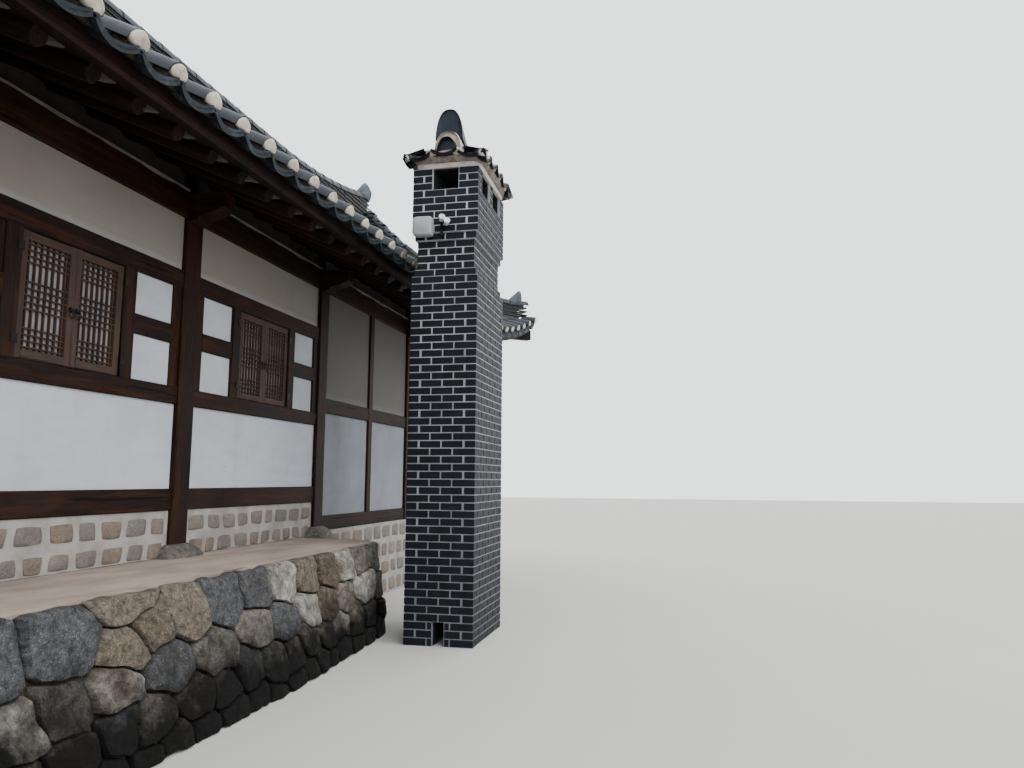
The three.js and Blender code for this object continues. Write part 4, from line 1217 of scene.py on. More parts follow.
@dataclass
class Eaves:
    """Rafters, boards and the earth bed that carry the tiles."""

    set_back: float = 0.1
    rafter_radius: float = 0.06
    rafter_axis: float = 0.047
    rafter_spacing: float = 0.363
    rafter_end: float = 1.42
    fan_centre: float = 1.2
    fan_share: float = 0.42
    tile_under: float = 0.05
    hip_run: Span = (0.14, 1.12)
    hip_size: Span = (0.15, 0.2)
    plaster_share: float = 0.9

    def rafter_lines(self, slope: Slope) -> list[tuple[Vector, Vector]]:
        """Tip and foot of each rafter: parallel ones, and a fan at each corner."""
        def axis(along: float, run: float) -> Vector:
            """A point on a rafter's axis."""
            height = slope.under_foot + slope.under_pitch * (run - slope.under_start) - self.rafter_axis
            return slope.at(along, run, height)

        fan_start = slope.half_along - slope.eave - self.fan_centre
        count = max(1, int(2 * fan_start / self.rafter_spacing))
        lines = [(axis(p, slope.under_start), axis(p, self.rafter_end))
                 for p in spread(count, self.rafter_spacing)]
        fan = round((slope.half_along - slope.under_start - fan_start) / self.rafter_spacing) - 1
        for i in range(fan):
            tip = fan_start + (i + 0.5) * self.rafter_spacing
            foot = fan_start + (tip - fan_start) * self.fan_share
            lines += [(axis(h * tip, slope.under_start), axis(h * foot, 1.4)) for h in (-1, 1)]
        return lines

    def bed_rows(self, slope: Slope) -> list[float]:
        """Distances in from the eave where the earth bed's surfaces bend."""
        runs = [self.set_back + 0.03, 0.3, 0.5, 0.8, 1.05, slope.eave - 0.001, slope.gable - 0.01]
        if slope.side in LONG_SIDES:
            runs += [2.15, slope.half_across - 0.001]
        return runs

    def earth_bed(self, slope: Slope) -> Shell:
        """The closed bed between the boards and the tiles."""
        shell = Shell(4)
        top, bottom = [], []
        for run in self.bed_rows(slope):
            half = slope.half_along - min(run, slope.gable)
            places = [half * math.sin(t * math.pi / 2) for t in steps_between(-1, 1, 0.07)]
            top.append([slope.on_bed(p, run, -self.tile_under - 0.004) for p in places])
            bottom.append([slope.below(p, run) for p in places])
        shell.slab(top, bottom, 0.5)
        return shell

    def boards(self, slope: Slope, columns: Sequence[float], spacing: float) -> Shell:
        """The eave board on the rafters' tips, and the scalloped batten that seats the first tiles."""
        shell = Shell(6)
        limit = slope.half_along - 0.22
        own = Vector((3.0, 7.0, 1.0))
        places = steps_between(-limit, limit, 0.12)
        section = ((0.46, 0.006), (0.105, 0.006), (0.1, -0.04), (0.46, -0.04))
        shell.loft([[slope.below(p, run, low) for run, low in section] for p in places],
                   [[own + Vector((p, run, low)) for run, low in section] for p in places])
        foot = slope.underside(self.set_back + 0.03) + 0.02
        rings, grain = [], []
        for p in steps_between(-limit, limit, spacing / 8):
            phase = ((p - columns[0]) / spacing) % 1.0
            scallop = 0.034 * (1 - math.cos(2 * math.pi * phase)) / 2
            crown = slope.bed(self.set_back) + (-self.tile_under + 0.024 - scallop)
            rings.append([slope.at(p, self.set_back + inwards, z) for inwards, z in
                          ((0.0, foot), (0.06, foot + 0.012), (0.06, crown), (0.0, crown))])
            grain.append([own + Vector((p, k * 0.06, 1.0)) for k in range(4)])
        shell.loft(rings, grain)
        return shell

    def hip_beam(self, shell: Shell, slope: Slope, hand: int) -> None:
        """The beam under a hip, from the eave's corner to just outside the wall."""
        tip, foot = (slope.below(hand * (slope.half_along - run), run, 0.1) for run in self.hip_run)
        shell.beam(foot, tip, *self.hip_size, chamfer=0.012, end_size=(0.95, 0.9))

    def tip_plaster(self, shell: Shell, tip: Vector, foot: Vector) -> None:
        """The wedge of plaster that thins out from most rafters' outer ends along the eave board, paler as
        painted light from below.
        """
        ahead = (tip - foot).normalized()
        across = ahead.cross(UP).normalized()
        if shell.rng.random() < self.plaster_share:
            start = tip - ahead * shell.rng.uniform(0.02, 0.04) - across * 0.03 + UP * 0.016
            end = start - across * shell.rng.uniform(0.16, 0.2) + UP * 0.026
            shell.beam(start, end, 0.05, 0.085, chamfer=0.012, wobble=0.006, step=0.04,
                       end_size=(0.7, 0.12))

    def build(self, slopes: Sequence[Slope], tiles: RoofTiles) -> None:
        """Builds the eaves on every side."""
        hips, patches = Shell(9), Shell(10)
        for slope in slopes:
            side = slope.side.label
            node = f"{side}_roof_deck" if slope.side in LONG_SIDES else f"{side}_end_roof_deck"
            rafters = Shell(8)
            for tip, foot in self.rafter_lines(slope):
                rafters.pole(foot, tip, self.rafter_radius * 1.04, 0.93)
                self.tip_plaster(patches, tip, foot)
            boards = self.boards(slope, tiles.columns(slope), tiles.spacing)
            # The earth bed's underside between the rafters is near black as painted shade
            for name, shell, finish, smooth in (
                    ("rafters", rafters, Finishes.eave_pine, 50),
                    ("earth_bed", self.earth_bed(slope), Finishes.eave_plaster, None),
                    ("eave_boards", boards, Finishes.eave_pine, None)):
                put(shell.build(f"{side}_{name}", finish, smooth), "house_timber", node)
            if slope.side in LONG_SIDES:
                for hand in (-1, 1):
                    self.hip_beam(hips, slope, hand)
        put(hips.build("hip_beams", Finishes.eave_pine), "house_timber")
        put(patches.build("rafter_tip_plaster", Finishes.tip_plaster), "lime_plaster")


@dataclass
class Ridges:
    """Main and corner ridges: mortar, courses of thin tiles, a round top row and end tiles."""

    layer: Layer
    course: float = 0.034
    tile_length: float = 0.29
    main_width: float = 0.25
    main_courses: int = 10
    main_round: float = 0.105
    corner_width: float = 0.21
    corner_courses: int = 7
    corner_round: float = 0.085
    foot: float = 0.05
    upturn: float = 0.04
    corner_in: float = 0.13
    corner_rise: float = 0.01
    end_lean: float = 0.25

    def main_path(self, slope: Slope) -> list[Vector]:
        """Foot of the main ridge, climbing towards both gables."""
        end = slope.half_along - slope.gable - 0.002
        path = []
        for share in steps_between(-1, 1, 0.05):
            crest = slope.bed(slope.half_across, abs(share) * end) + self.upturn * abs(share) ** 4
            path.append(slope.plan.middle + Vector((share * end, 0, crest)))
        return path

    def corner_path(self, slope: Slope, hand: int) -> list[Vector]:
        """Foot of a ridge that comes down the gable's edge and goes out along the hip."""
        inner = slope.half_along - slope.gable - self.corner_in
        down = [(inner, run) for run in (2.375, 2.28, 2.2, 2.1, 2.0, 1.85)]
        runs = (1.6, 1.45, 1.3, 1.15, 1.0, 0.85, 0.7, 0.55, 0.4, 0.3)
        hip = [(slope.half_along - run, run) for run in runs]
        return [slope.on_bed(hand * along, run, self.corner_rise) for along, run in down + hip]

    def stations(self, path: Sequence[Vector], step: float) -> list[tuple[Vector, Vector]]:
        """Places and directions at even steps along a path."""
        found = []
        carry = 0.0
        for a, b in zip(path, path[1:]):
            length = (b - a).length
            while carry < length:
                found.append((a.lerp(b, carry / length), (b - a).normalized()))
                carry += step
            carry -= length
        return found

    def core(self, shell: Shell, path: Sequence[Vector], width: float, height: float, sunk: float) -> None:
        """The mortar heart of a ridge."""
        rings = []
        for i, point in enumerate(path):
            along = (path[min(i + 1, len(path) - 1)] - path[max(i - 1, 0)]).normalized()
            across = along.cross(UP).normalized() * width / 2
            bend = 0.006 * math.sin(i * 2.7)
            section = ((-1.05, -sunk), (1.05, -sunk), (0.9 + bend, 0.03), (0.66, height), (-0.66, height),
                       (-0.9 - bend, 0.03))
            rings.append([point + across * u + UP * z for u, z in section])
        shell.loft(rings)

    def courses(self, path: Sequence[Vector], width: float, count: int) -> list[Guide]:
        """Guides of the thin tiles laid flat on both sides, each course a little further in."""
        guides = []
        for k in range(count):
            for place, along in self.stations(path, self.tile_length):
                across = along.cross(UP).normalized()
                shift = along * (self.tile_length * (0.5 if k % 2 else 0.0))
                inset = width / 2 * (1 - 0.2 * k / count) - 0.06 - (0.008 if k % 2 else 0.0)
                for hand in (-1, 1):
                    spot = place + shift + across * hand * inset
                    guides.append(Guide(spot + UP * (self.foot + self.course * (k + 0.5)), UP, along))
        return guides

    def end_tile(self, shell: Shell, foot: Vector, heading: Vector, width: float, height: float) -> None:
        """A leaf-shaped end tile that leans out over the end of a ridge.

        Args:
            shell: the mesh that it joins.
            foot: middle of its foot.
            heading: the way that it faces.
            width: across.
            height: from foot to top.
        """
        out = Vector((heading.x, heading.y, 0)).normalized()
        across = out.cross(UP).normalized()
        radius = width / 2
        rise = height * 0.42
        outline = [(-radius * 0.9, 0.0), (-radius, rise * 0.5)]
        outline += [(-radius * math.cos(a), rise + (height - rise) * (1 - abs(math.cos(a)) ** 1.6))
                    for a in steps_between(0, math.pi, 0.26)]
        outline += [(radius, rise * 0.5), (radius * 0.9, 0.0)]
        rings = []
        for depth, squeeze in ((0.008, 0.84), (0.0, 0.88), (0.0, 0.98), (0.008, 1.0), (0.026, 1.0),
                               (0.032, 0.97), (0.2, 0.8)):
            rings.append([foot - out * (depth - z * self.end_lean) + across * u * squeeze
                          + UP * (z * (1 - 0.5 * (depth > 0.1))) for u, z in outline])
        shell.loft(rings)

    def end_plaster(self, shell: Shell, foot: Vector, heading: Vector, width: float, top: float) -> None:
        """The rounded lime face that closes the end of a ridge under its end tile."""
        out = Vector((heading.x, heading.y, 0)).normalized()
        across = out.cross(UP).normalized()
        rings = []
        for depth, squeeze in ((-0.05, 0.9), (0.0, 0.94), (0.02, 0.8), (0.028, 0.45)):
            ring = []
            for angle in turns(16):
                round_out = 1 / max(abs(math.cos(angle)), abs(math.sin(angle))) ** 0.6
                u = math.cos(angle) * width / 2 * squeeze * round_out * 0.9
                v = top * 0.36 + math.sin(angle) * top * 0.4 * squeeze * round_out
                ring.append(foot + out * depth + across * u + UP * v)
            rings.append(ring)
        shell.loft(rings)

    def build(self, slope_front: Slope, slope_back: Slope) -> None:
        """Builds the main ridge and the four corner ridges."""
        thin = Shell(2)
        half = Vector((0, self.tile_length / 2 - 0.003, 0))
        thin.beam(-half, half, 0.12, 0.022, chamfer=0.006, step=0.3)
        runs = [("main_ridge", self.main_path(slope_front), self.main_width, self.main_courses,
                 self.main_round)]
        for slope in (slope_front, slope_back):
            for hand, end in ((-1, "near"), (1, "far")):
                runs.append((f"{end}_{slope.side.label}_corner_ridge", self.corner_path(slope, hand),
                             self.corner_width, self.corner_courses, self.corner_round))
        mortar, ends, end_mortar = Shell(3), Shell(7), Shell(11)
        for number, (name, path, width, count, radius) in enumerate(runs):
            top = self.foot + count * self.course
            cover = arched_tile(radius, COVER_SWEEP, self.tile_length + 0.03, 0.016, 10, 1.05, 0.004)
            self.core(mortar, path, width, top, 0.1)
            piece = self.layer.lay(f"{name}_courses", self.courses(path, width, count), thin,
                                   Finishes.roof_tile, 31 + number, 0.01, 0.012)
            put(piece, "roof_tile", name)
            rounds = [Guide(place + UP * (top - 0.004), along.cross(UP).cross(along).normalized(), along)
                      for place, along in self.stations(path, self.tile_length)]
            piece = self.layer.lay(f"{name}_top_row", rounds, cover, Finishes.cover_tile, 41 + number,
                                   0.01, 0.01, 50)
            put(piece, "roof_tile", name)
            main = name == "main_ridge"
            for tip in (0, -1) if main else (-1,):
                heading = path[tip] - path[1 if tip == 0 else -2]
                base = path[tip] + UP * (top - (0.05 if main else 0.03))
                self.end_tile(ends, base, heading, *((0.3, 0.36) if main else (0.27, 0.3)))
                self.end_plaster(end_mortar, path[tip], heading, width, top)
        put(mortar.build("ridge_mortar", Finishes.ridge_mortar), "lime_mortar")
        put(ends.build("ridge_end_tiles", Finishes.leaf_tile, 40), "roof_tile")
        put(end_mortar.build("ridge_end_mortar", Finishes.lime_plug, 60), "lime_mortar")


@dataclass
class Gables:
    """The boarded triangles over the end slopes, with bargeboards along their edges."""

    inset: float = 0.06
    foot: float = 4.4
    start: float = 1.81
    plank: float = 0.17
    plank_thick: float = 0.05
    batten: Span = (0.02, 0.04)
    barge: float = 0.3

    def build(self, slope: Slope) -> None:
        """Builds both gables.

        Args:
            slope: a long slope, whose curve the bargeboards follow.
        """
        for end in END_SIDES:
            for kind, shell, finish in (("gable_planks", self.planks(slope, end), Finishes.house_pine),
                                        ("bargeboards", self.barges(slope, end), Finishes.eave_pine)):
                put(shell.build(f"{end.label}_{kind}", finish), "house_timber", f"{end.label}_gable")

    def planks(self, slope: Slope, end: Side) -> Shell:
        """The upright planks of one gable, with a batten over each seam."""
        reach = slope.half_along - slope.gable - self.inset
        hand, middle = end.outward.x, slope.plan.middle
        half = slope.half_across - self.start
        shell = Shell(12)
        for y in spread(int(2 * half / self.plank) + 1, self.plank):
            run = slope.half_across - abs(y) - self.plank / 2
            top = slope.bed(max(run, self.start), reach) - 0.07
            low = middle + Vector((hand * (reach - 0.07), y, self.foot))
            high = Vector((low.x, low.y, max(top, self.foot + 0.15)))
            shell.beam(low, high, self.plank_thick, self.plank * 0.985, up=ACROSS, chamfer=0.004)
            seam = Vector((hand * 0.032, self.plank / 2, 0))
            shell.beam(low + seam, high + seam, *self.batten, up=ACROSS, chamfer=0.004)
        return shell

    def barges(self, slope: Slope, end: Side) -> Shell:
        """The two boards along the edges of one gable."""
        face = slope.half_along - slope.gable
        hand, middle = end.outward.x, slope.plan.middle
        shell = Shell(14)
        for hip in (-1, 1):
            rings, grain = [], []
            own = Vector((hip * 5.0, hand * 3.0, 0.0))
            for run in steps_between(self.start, slope.half_across, 0.1):
                crown = slope.bed(run, face - self.inset) - 0.055
                low = crown - self.barge
                y = hip * (slope.half_across - run)
                rings.append([middle + Vector((hand * (face - out), y, z))
                              for out, z in ((self.inset, low), (0.012, low), (0.004, low + 0.02),
                                             (0.004, crown), (self.inset, crown))])
                grain.append([own + Vector((run, 0.0, (k > 1) * self.barge)) for k in range(5)])
            shell.loft(rings, grain)
        return shell


# Timber frame

@dataclass
class TimberFrame:
    """Posts, beams, rails and plates, hewn from pine."""

    plan: Plan
    post_head: float = 3.62
    tie: Span = (3.6, 3.9)
    tie_width: float = 0.2
    head_top: float = 3.84
    head: float = 0.295
    plate: Span = (3.63, 3.865)
    plate_half: float = 0.092
    mid_rail: Span = (2.25, 2.41)
    side_rail: Span = (2.57, 2.72)
    lintel_foot: float = 3.038
    sill_top: float = 2.229
    leaf_pair: float = 0.911
    jamb: float = 0.125
    side_trim: float = 0.1
    stud: float = 0.12
    end_post: float = 0.18
    end_beam: float = 0.165
    end_plate_top: float = 3.98
    infill_top: float = 4.03
    board: float = 0.16
    seat: float = 0.001
    # How far a timber goes into its neighbour
    bite: float = 0.004

    def member(self, shell: Shell, side: Side, span: Span, heights: Span, out: Span,
               upright: bool = False, chamfer: float = 0.007) -> None:
        """Adds a timber that lies in a wall.

        Args:
            shell: the mesh that it joins.
            side: its wall.
            span: its two ends or faces along the wall.
            heights: its foot and top.
            out: its inner and outer faces.
            upright: whether it stands, so that its grain runs up.
            chamfer: of its edges.
        """
        mid_along, mid_out, mid_up = ((low + high) / 2 for low, high in (span, out, heights))
        ends = [(mid_along, z) for z in heights] if upright else [(along, mid_up) for along in span]
        start, end = (self.plan.on_wall(side, along, mid_out, z) for along, z in ends)
        wide, up = (span, side.along) if upright else (heights, UP)
        shell.beam(start, end, out[1] - out[0], wide[1] - wide[0], up=up, chamfer=chamfer)

    def post_pair(self, number: int) -> None:
        """Builds the two posts of one frame, with the tie beam that joins them."""
        plan = self.plan
        shell = Shell(20 + number)
        x = plan.posts[number]
        foot = z_range("platform")[1] if number < 4 else z_range("far_plinth")[1]
        for side in LONG_SIDES:
            bottom, top, ground = (plan.on_wall(side, x, 0.0, z)
                                   for z in (foot + self.seat, self.post_head, 0.0))
            shell.beam(bottom, top, plan.post, plan.post, up=ACROSS, chamfer=0.009, wobble=0.004,
                       step=0.35, end_size=(0.985, 0.985))
            self.shaped_head(shell, ground, side.outward, self.tie[0])
            if number in (0, 5):
                self.shaped_head(shell, ground, Vector((1 if number else -1, 0, 0)), self.plate[0])
        mid = (self.tie[0] + self.tie[1]) / 2
        front, back = (plan.on_wall(side, x, 0.0, mid) for side in LONG_SIDES)
        shell.beam(front, back, self.tie_width, self.tie[1] - self.tie[0], chamfer=0.012)
        node = f"post_frame_{number + 1}"
        put(shell.build(f"{node}_hewn", Finishes.house_pine), "house_timber", node)

    def shaped_head(self, shell: Shell, post: Vector, out: Vector, foot: float) -> None:
        """The end of a beam past a post, cut back below in a step and a curve."""
        across = out.cross(UP)
        reach = self.plan.post / 2
        half = self.tie_width / 2
        own = shell.own(30)
        rings, grain = [], []
        for distance, rise, squeeze in ((-0.02, 0.0, 1.0), (reach + 0.02, 0.0, 1.0),
                                        (reach + 0.07, 0.015, 0.93), (reach + 0.075, 0.05, 0.9),
                                        (reach + 0.2, 0.075, 0.84), (reach + self.head, 0.12, 0.78)):
            low, wide = foot + rise, half * squeeze
            section = [(-wide, low), (wide, low), (wide, self.head_top), (-wide, self.head_top)]
            rings.append([post + out * distance + across * u + UP * z for u, z in section])
            grain.append([own + Vector((distance, u, z)) for u, z in section])
        shell.loft(rings, grain)

    def clear(self, bay: int) -> Span:
        """The run between the faces of a bay's two posts."""
        half = self.plan.post / 2
        return self.plan.posts[bay] + half - self.bite, self.plan.posts[bay + 1] - half + self.bite

    def long_wall(self, side: Side) -> None:
        """Builds one long wall's beams, rails and plate."""
        posts, rail, name = self.plan.posts, self.plan.rail, side.label
        beams = [z_range(f"{name}_lower_beam_{end}") for end in ("near", "far")]
        window_rails = z_range(f"{name}_rails_near")
        sill, lintel = (window_rails[0], self.sill_top), (self.lintel_foot, window_rails[1])
        near, far, plain, plates = Shell(30), Shell(31), Shell(34), Shell(35)
        rails = Shell(32 if side is Side.FRONT else 33)
        for bay in range(5):
            is_near = bay < 3
            self.member(near if is_near else far, side, self.clear(bay), beams[not is_near], rail)
            if is_near:
                self.member(rails, side, self.clear(bay), sill, rail)
                self.member(rails, side, self.clear(bay), lintel, rail)
                self.window_surround(rails, side, bay, sill[1], lintel[0])
            else:
                self.member(plain, side, self.clear(bay), self.mid_rail, rail)
            start = posts[bay] + self.tie_width / 2 - self.bite
            end = posts[bay + 1] - self.tie_width / 2 + self.bite
            self.member(plates, side, (start, end), self.plate, (-self.plate_half, self.plate_half))
        if side is Side.FRONT:
            self.board_panel(rails, side, 1, sill[1], lintel[0])
        centre = (posts[3] + posts[4]) / 2
        self.member(plain, side, (centre - self.stud / 2, centre + self.stud / 2),
                    (beams[1][1] - self.bite, self.plate[0] + self.bite), (rail[0], rail[1] + 0.003), True)
        for shell, piece, node in (
                (near, "near_beam", "lower_beam_near"), (far, "far_beam", "lower_beam_far"),
                (rails, "rails", "rails_near"), (plain, "plain_bay_rails", "rails_far"),
                (plates, "plate", "plate")):
            put(shell.build(f"{name}_{piece}_hewn", Finishes.house_pine), "house_timber",
                f"{name}_{node}")

    def window_surround(self, shell: Shell, side: Side, bay: int, low: float, high: float) -> None:
        """Adds a window's jambs, the trims at the posts and the short rails between them."""
        plan = self.plan
        middle = (plan.posts[bay] + plan.posts[bay + 1]) / 2
        inner = self.leaf_pair / 2
        outer = (plan.posts[bay + 1] - plan.posts[bay] - plan.post) / 2
        heights = (low - self.bite, high + self.bite)
        for hand in (-1, 1):
            for span, proud in (((inner, inner + self.jamb), 0.0),
                                ((outer - self.side_trim, outer), -0.006)):
                self.member(shell, side, mirrored(middle, hand, span), heights,
                            (plan.rail[0], plan.rail[1] + proud), True)
            between = mirrored(middle, hand, (inner + self.jamb, outer - self.side_trim), self.bite)
            self.member(shell, side, between, self.side_rail, (plan.rail[0], plan.rail[1] - self.bite))

    def board_panel(self, shell: Shell, side: Side, bay: int, low: float, high: float) -> None:
        """Boards over the panel between a bay's near post and its window."""
        plan = self.plan
        start = plan.posts[bay] + plan.post / 2 + self.side_trim - self.bite
        middle = (plan.posts[bay] + plan.posts[bay + 1]) / 2
        end = middle - self.leaf_pair / 2 - self.jamb + self.bite
        edges = steps_between(start, end, self.board)
        for a, b in zip(edges, edges[1:]):
            self.member(shell, side, (a + 0.001, b - 0.001), (low - self.bite, high + self.bite),
                        (plan.plaster_out - 0.002, plan.plaster_out + 0.012), True, 0.003)

    def end_wall(self, side: Side) -> None:
        """Builds one end wall's beams and middle post."""
        plan = self.plan
        name = side.label
        shell, beams = Shell(36), Shell(37)
        inside = plan.half_depth - plan.post / 2
        foot = z_range(f"{name}_end_frame")[0]
        for hand in (-1, 1):
            span = mirrored(0.0, hand, (self.end_post / 2, inside), 0.003)
            self.member(shell, side, span, (foot, foot + self.end_beam), plan.rail)
            self.member(shell, side, span, self.mid_rail, plan.rail)
        self.member(shell, side, (-self.end_post / 2, self.end_post / 2), (foot, self.tie[0]),
                    (-0.09, plan.post / 2), True, 0.009)
        put(shell.build(f"{name}_end_frame_hewn", Finishes.house_pine), "house_timber",
            f"{name}_end_frame")
        mid = (self.tie[1] + self.end_plate_top) / 2
        start, end = (plan.on_wall(side, along, -0.01, mid) for along in (-inside, inside))
        beams.beam(start, end, 0.18, 0.085)
        put(beams.build(f"{name}_end_plate_hewn", Finishes.house_pine), "house_timber")

    def plate_beads(self) -> None:
        """Builds the uneven line of plaster along the top of the plates, and the infill above it, near black
        as painted shade under the eaves.
        """
        beads, infill = Shell(40), Shell(41)
        plate_top = self.plate[1]
        for side in LONG_SIDES:
            for bay in range(5):
                low, high = self.clear(bay)
                rings = []
                for x in steps_between(low, high, 0.05):
                    drop = 0.016 + 0.016 * rough(Vector((x * 3.0, side.outward.y * 4, 0)), 1.0, 3)
                    drop = max(0.004, drop)
                    edge = self.plan.on_wall(side, x, self.plate_half + 0.004, plate_top - drop)
                    rings.append([edge, edge + UP * (drop + 0.006),
                                  self.plan.on_wall(side, x, 0.03, plate_top + 0.035),
                                  self.plan.on_wall(side, x, 0.03, plate_top - 0.02)])
                beads.loft(rings)
                centre = (plate_top + self.infill_top) / 2
                start, end = (self.plan.on_wall(side, x, 0.0, centre) for x in (low, high))
                infill.beam(start, end, 0.08, self.infill_top - plate_top + 0.02, chamfer=0.002)
        put(beads.build("plate_beads", Finishes.bead_plaster, 60), "lime_plaster")
        put(infill.build("rafter_infill", Finishes.eave_plaster), "lime_plaster")

    def build(self) -> None:
        """Builds the whole frame."""
        for number in range(len(self.plan.posts)):
            self.post_pair(number)
        for side in LONG_SIDES:
            self.long_wall(side)
        for side in END_SIDES:
            self.end_wall(side)
        self.plate_beads()


@dataclass
class Windows:
    """Pairs of lattice leaves backed by paper, with iron hinges and ring pulls."""

    plan: Plan
    layer: Layer
    out: float = 0.066
    thick: float = 0.038
    stile: float = 0.056
    middle_stile: float = 0.05
    bar: float = 0.009
    bar_depth: float = 0.02
    uprights: int = 7
    # Middle of each group of crossbars as a share of the height, and its number of bars
    groups: tuple[tuple[float, int], ...] = ((0.92, 4), (0.5, 5), (0.09, 4))
    bar_gap: float = 0.043
    end_squeeze: float = 0.9
    ring_radius: float = 0.026

    def build(self) -> None:
        """Builds all six windows."""
        for side in LONG_SIDES:
            for bay in (1, 2, 3):
                self.window(side, bay)

    def window(self, side: Side, bay: int) -> None:
        """Builds one pair of leaves."""
        node = f"{side.label}_window_{bay}"
        low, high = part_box(node)
        middle, half = (low.x + high.x) / 2, (high.x - low.x) / 2
        foot, top = low.z + 0.003, high.z - 0.003
        out = self.out + 0.004
        depth = (out - self.thick, out)
        frame = TimberFrame(self.plan)
        leaves, paper, iron = Shell(50 + bay), Shell(60 + bay), Shell(70 + bay)
        bars: list[Guide] = []
        opening = (foot + self.stile, top - self.stile)
        inner, outer = 0.0015, half - 0.002
        for hand in (-1, 1):
            for upright in ((inner, inner + self.middle_stile), (outer - self.stile, outer)):
                frame.member(leaves, side, mirrored(middle, hand, upright), (foot, top), depth, True, 0.004)
            clear, crossing, sheet = (mirrored(middle, hand, (inner + self.middle_stile,
                                                              outer - self.stile), longer)
                                      for longer in (0.0, 0.002, 0.01))
            for heights in ((foot, foot + self.stile), (top - self.stile, top)):
                frame.member(leaves, side, crossing, heights, depth, False, 0.004)
            self.lattice(bars, side, clear, opening)
            frame.member(paper, side, sheet, (opening[0] - 0.01, opening[1] + 0.01),
                         (depth[0] + 0.002, depth[0] + 0.006), False, 0.0008)
            self.fittings(iron, side, middle, hand, outer, foot, top)
        unit = Shell(1)
        unit.beam(-ACROSS / 2, ACROSS / 2, self.bar, self.bar_depth, chamfer=0.0015, wobble=0.0, step=2.0)
        put(leaves.build(f"{node}_leaves", Finishes.window_pine), "window_wood", node)
        put(self.layer.lay(f"{node}_bars", bars, unit, Finishes.window_pine, 5 + bay, 0.0), "window_wood",
            node)
        put(paper.build(f"{node}_paper", Finishes.window_paper), "window_wood", node)
        put(iron.build(f"{node}_iron", Finishes.iron, 40), "window_wood")

    def lattice(self, bars: list[Guide], side: Side, span: Span, heights: Span) -> None:
        """Adds the guides of one leaf's bars: uprights, and crossbars in three groups."""
        out = self.out - self.bar_depth / 2 - 0.006
        width = span[1] - span[0]
        rise = heights[1] - heights[0]
        for i in range(self.uprights):
            x = span[0] + width * (i + 0.5) / self.uprights
            spot = self.plan.on_wall(side, x, out, (heights[0] + heights[1]) / 2)
            bars.append(Guide(spot, side.outward, UP, Vector((1.0, rise + 0.004, 1.0))))
        for centre, count in self.groups:
            for shift in spread(count, self.bar_gap):
                step = (shift - spread(count, self.bar_gap)[0]) * self.end_squeeze
                z = heights[0] + rise * centre + shift
                if centre > 0.8:
                    z = heights[1] - self.bar_gap * (count - 0.5) * self.end_squeeze + step
                if centre < 0.2:
                    z = heights[0] + self.bar_gap * 0.45 + step
                spot = self.plan.on_wall(side, (span[0] + span[1]) / 2, out + 0.001, z)
                bars.append(Guide(spot, side.outward, side.along, Vector((1.0, width + 0.004, 0.9))))

    def fittings(self, iron: Shell, side: Side, middle: float, hand: int, outer: float, foot: float,
                 top: float) -> None:
        """Adds a leaf's hinges and its ring pull."""
        rise = top - foot
        for share in (0.14, 0.86):
            z = foot + rise * share
            start = self.plan.on_wall(side, middle + hand * (outer - 0.012), self.out + 0.012, z - 0.035)
            iron.pole(start, start + UP * 0.07, 0.008, 1.0, 8)
            plate = self.plan.on_wall(side, middle + hand * (outer + 0.02), self.plan.rail[1] + 0.002, z)
            iron.beam(plate - UP * 0.03, plate + UP * 0.03, 0.008, 0.05, up=side.along, chamfer=0.002)
        knob = self.plan.on_wall(side, middle + hand * 0.028, self.out + 0.006, foot + rise * 0.47)
        iron.pole(knob, knob + side.outward * 0.012, 0.02, 0.7, 10)
        ring_centre = knob + side.outward * 0.014 - UP * 0.028
        points = []
        for angle in turns(16):
            centre = ring_centre + (side.along * math.cos(angle) + UP * math.sin(angle)) * self.ring_radius
            radial = (centre - ring_centre).normalized()
            points += [centre + (radial * math.cos(a) + side.outward * math.sin(a)) * 0.004
                       for a in turns(4)]
        # Each section's faces reach the next section, and the last one's reach the first
        faces = [(i, i - i % 4 + (i + 1) % 4, (i + 4 - i % 4 + (i + 1) % 4) % 64, (i + 4) % 64)
                 for i in range(len(points))]
        iron.add(points, faces)


# Masonry

@dataclass
class Masonry:
    """Courses of stones along a wall, their joints staggered by chance."""

    shell: Shell
    place: Place
    bulge: float
    sunk: float
    rounding: float
    roughness: float
    joint: float
    cells: tuple[int, int] = (9, 7)

    def course(self, span: Span, heights: Span, width: float,
               vary: float) -> None:
        """Lays one course.

        Args:
            span: where it starts and ends along the wall.
            heights: its foot and top.
            width: a usual stone's width.
            vary: how much the widths differ, 0 to 1.
        """
        rng = self.shell.rng
        joints = [span[0]]
        while joints[-1] < span[1]:
            joints.append(joints[-1] + width * (1 + rng.uniform(-vary, vary)))
        scale = (span[1] - span[0]) / (joints[-1] - span[0])
        joints = [span[0] + (j - span[0]) * scale for j in joints]
        rise = heights[1] - heights[0]
        slants = [rng.uniform(-0.08, 0.08) * rise * (1 if 0 < i < len(joints) - 1 else 0)
                  for i in range(len(joints))]
        lows = [rng.uniform(-0.06, 0.06) * rise for _ in joints]
        highs = [rng.uniform(-0.05, 0.02) * rise for _ in joints]
        gap = self.joint / 2
        for i in range(len(joints) - 1):
            drop = rng.uniform(0, 0.12) * rise * vary
            corners = [(joints[i] - slants[i] + gap, heights[0] + lows[i] + gap),
                       (joints[i + 1] - slants[i + 1] - gap, heights[0] + lows[i + 1] + gap),
                       (joints[i + 1] + slants[i + 1] - gap, heights[1] + highs[i + 1] - gap - drop),
                       (joints[i] + slants[i] + gap, heights[1] + highs[i] - gap - drop)]
            self.shell.stone(self.place, corners, self.bulge * rng.uniform(0.7, 1.15), self.sunk,
                             self.rounding * rng.uniform(0.6, 1.3), self.roughness, self.cells)


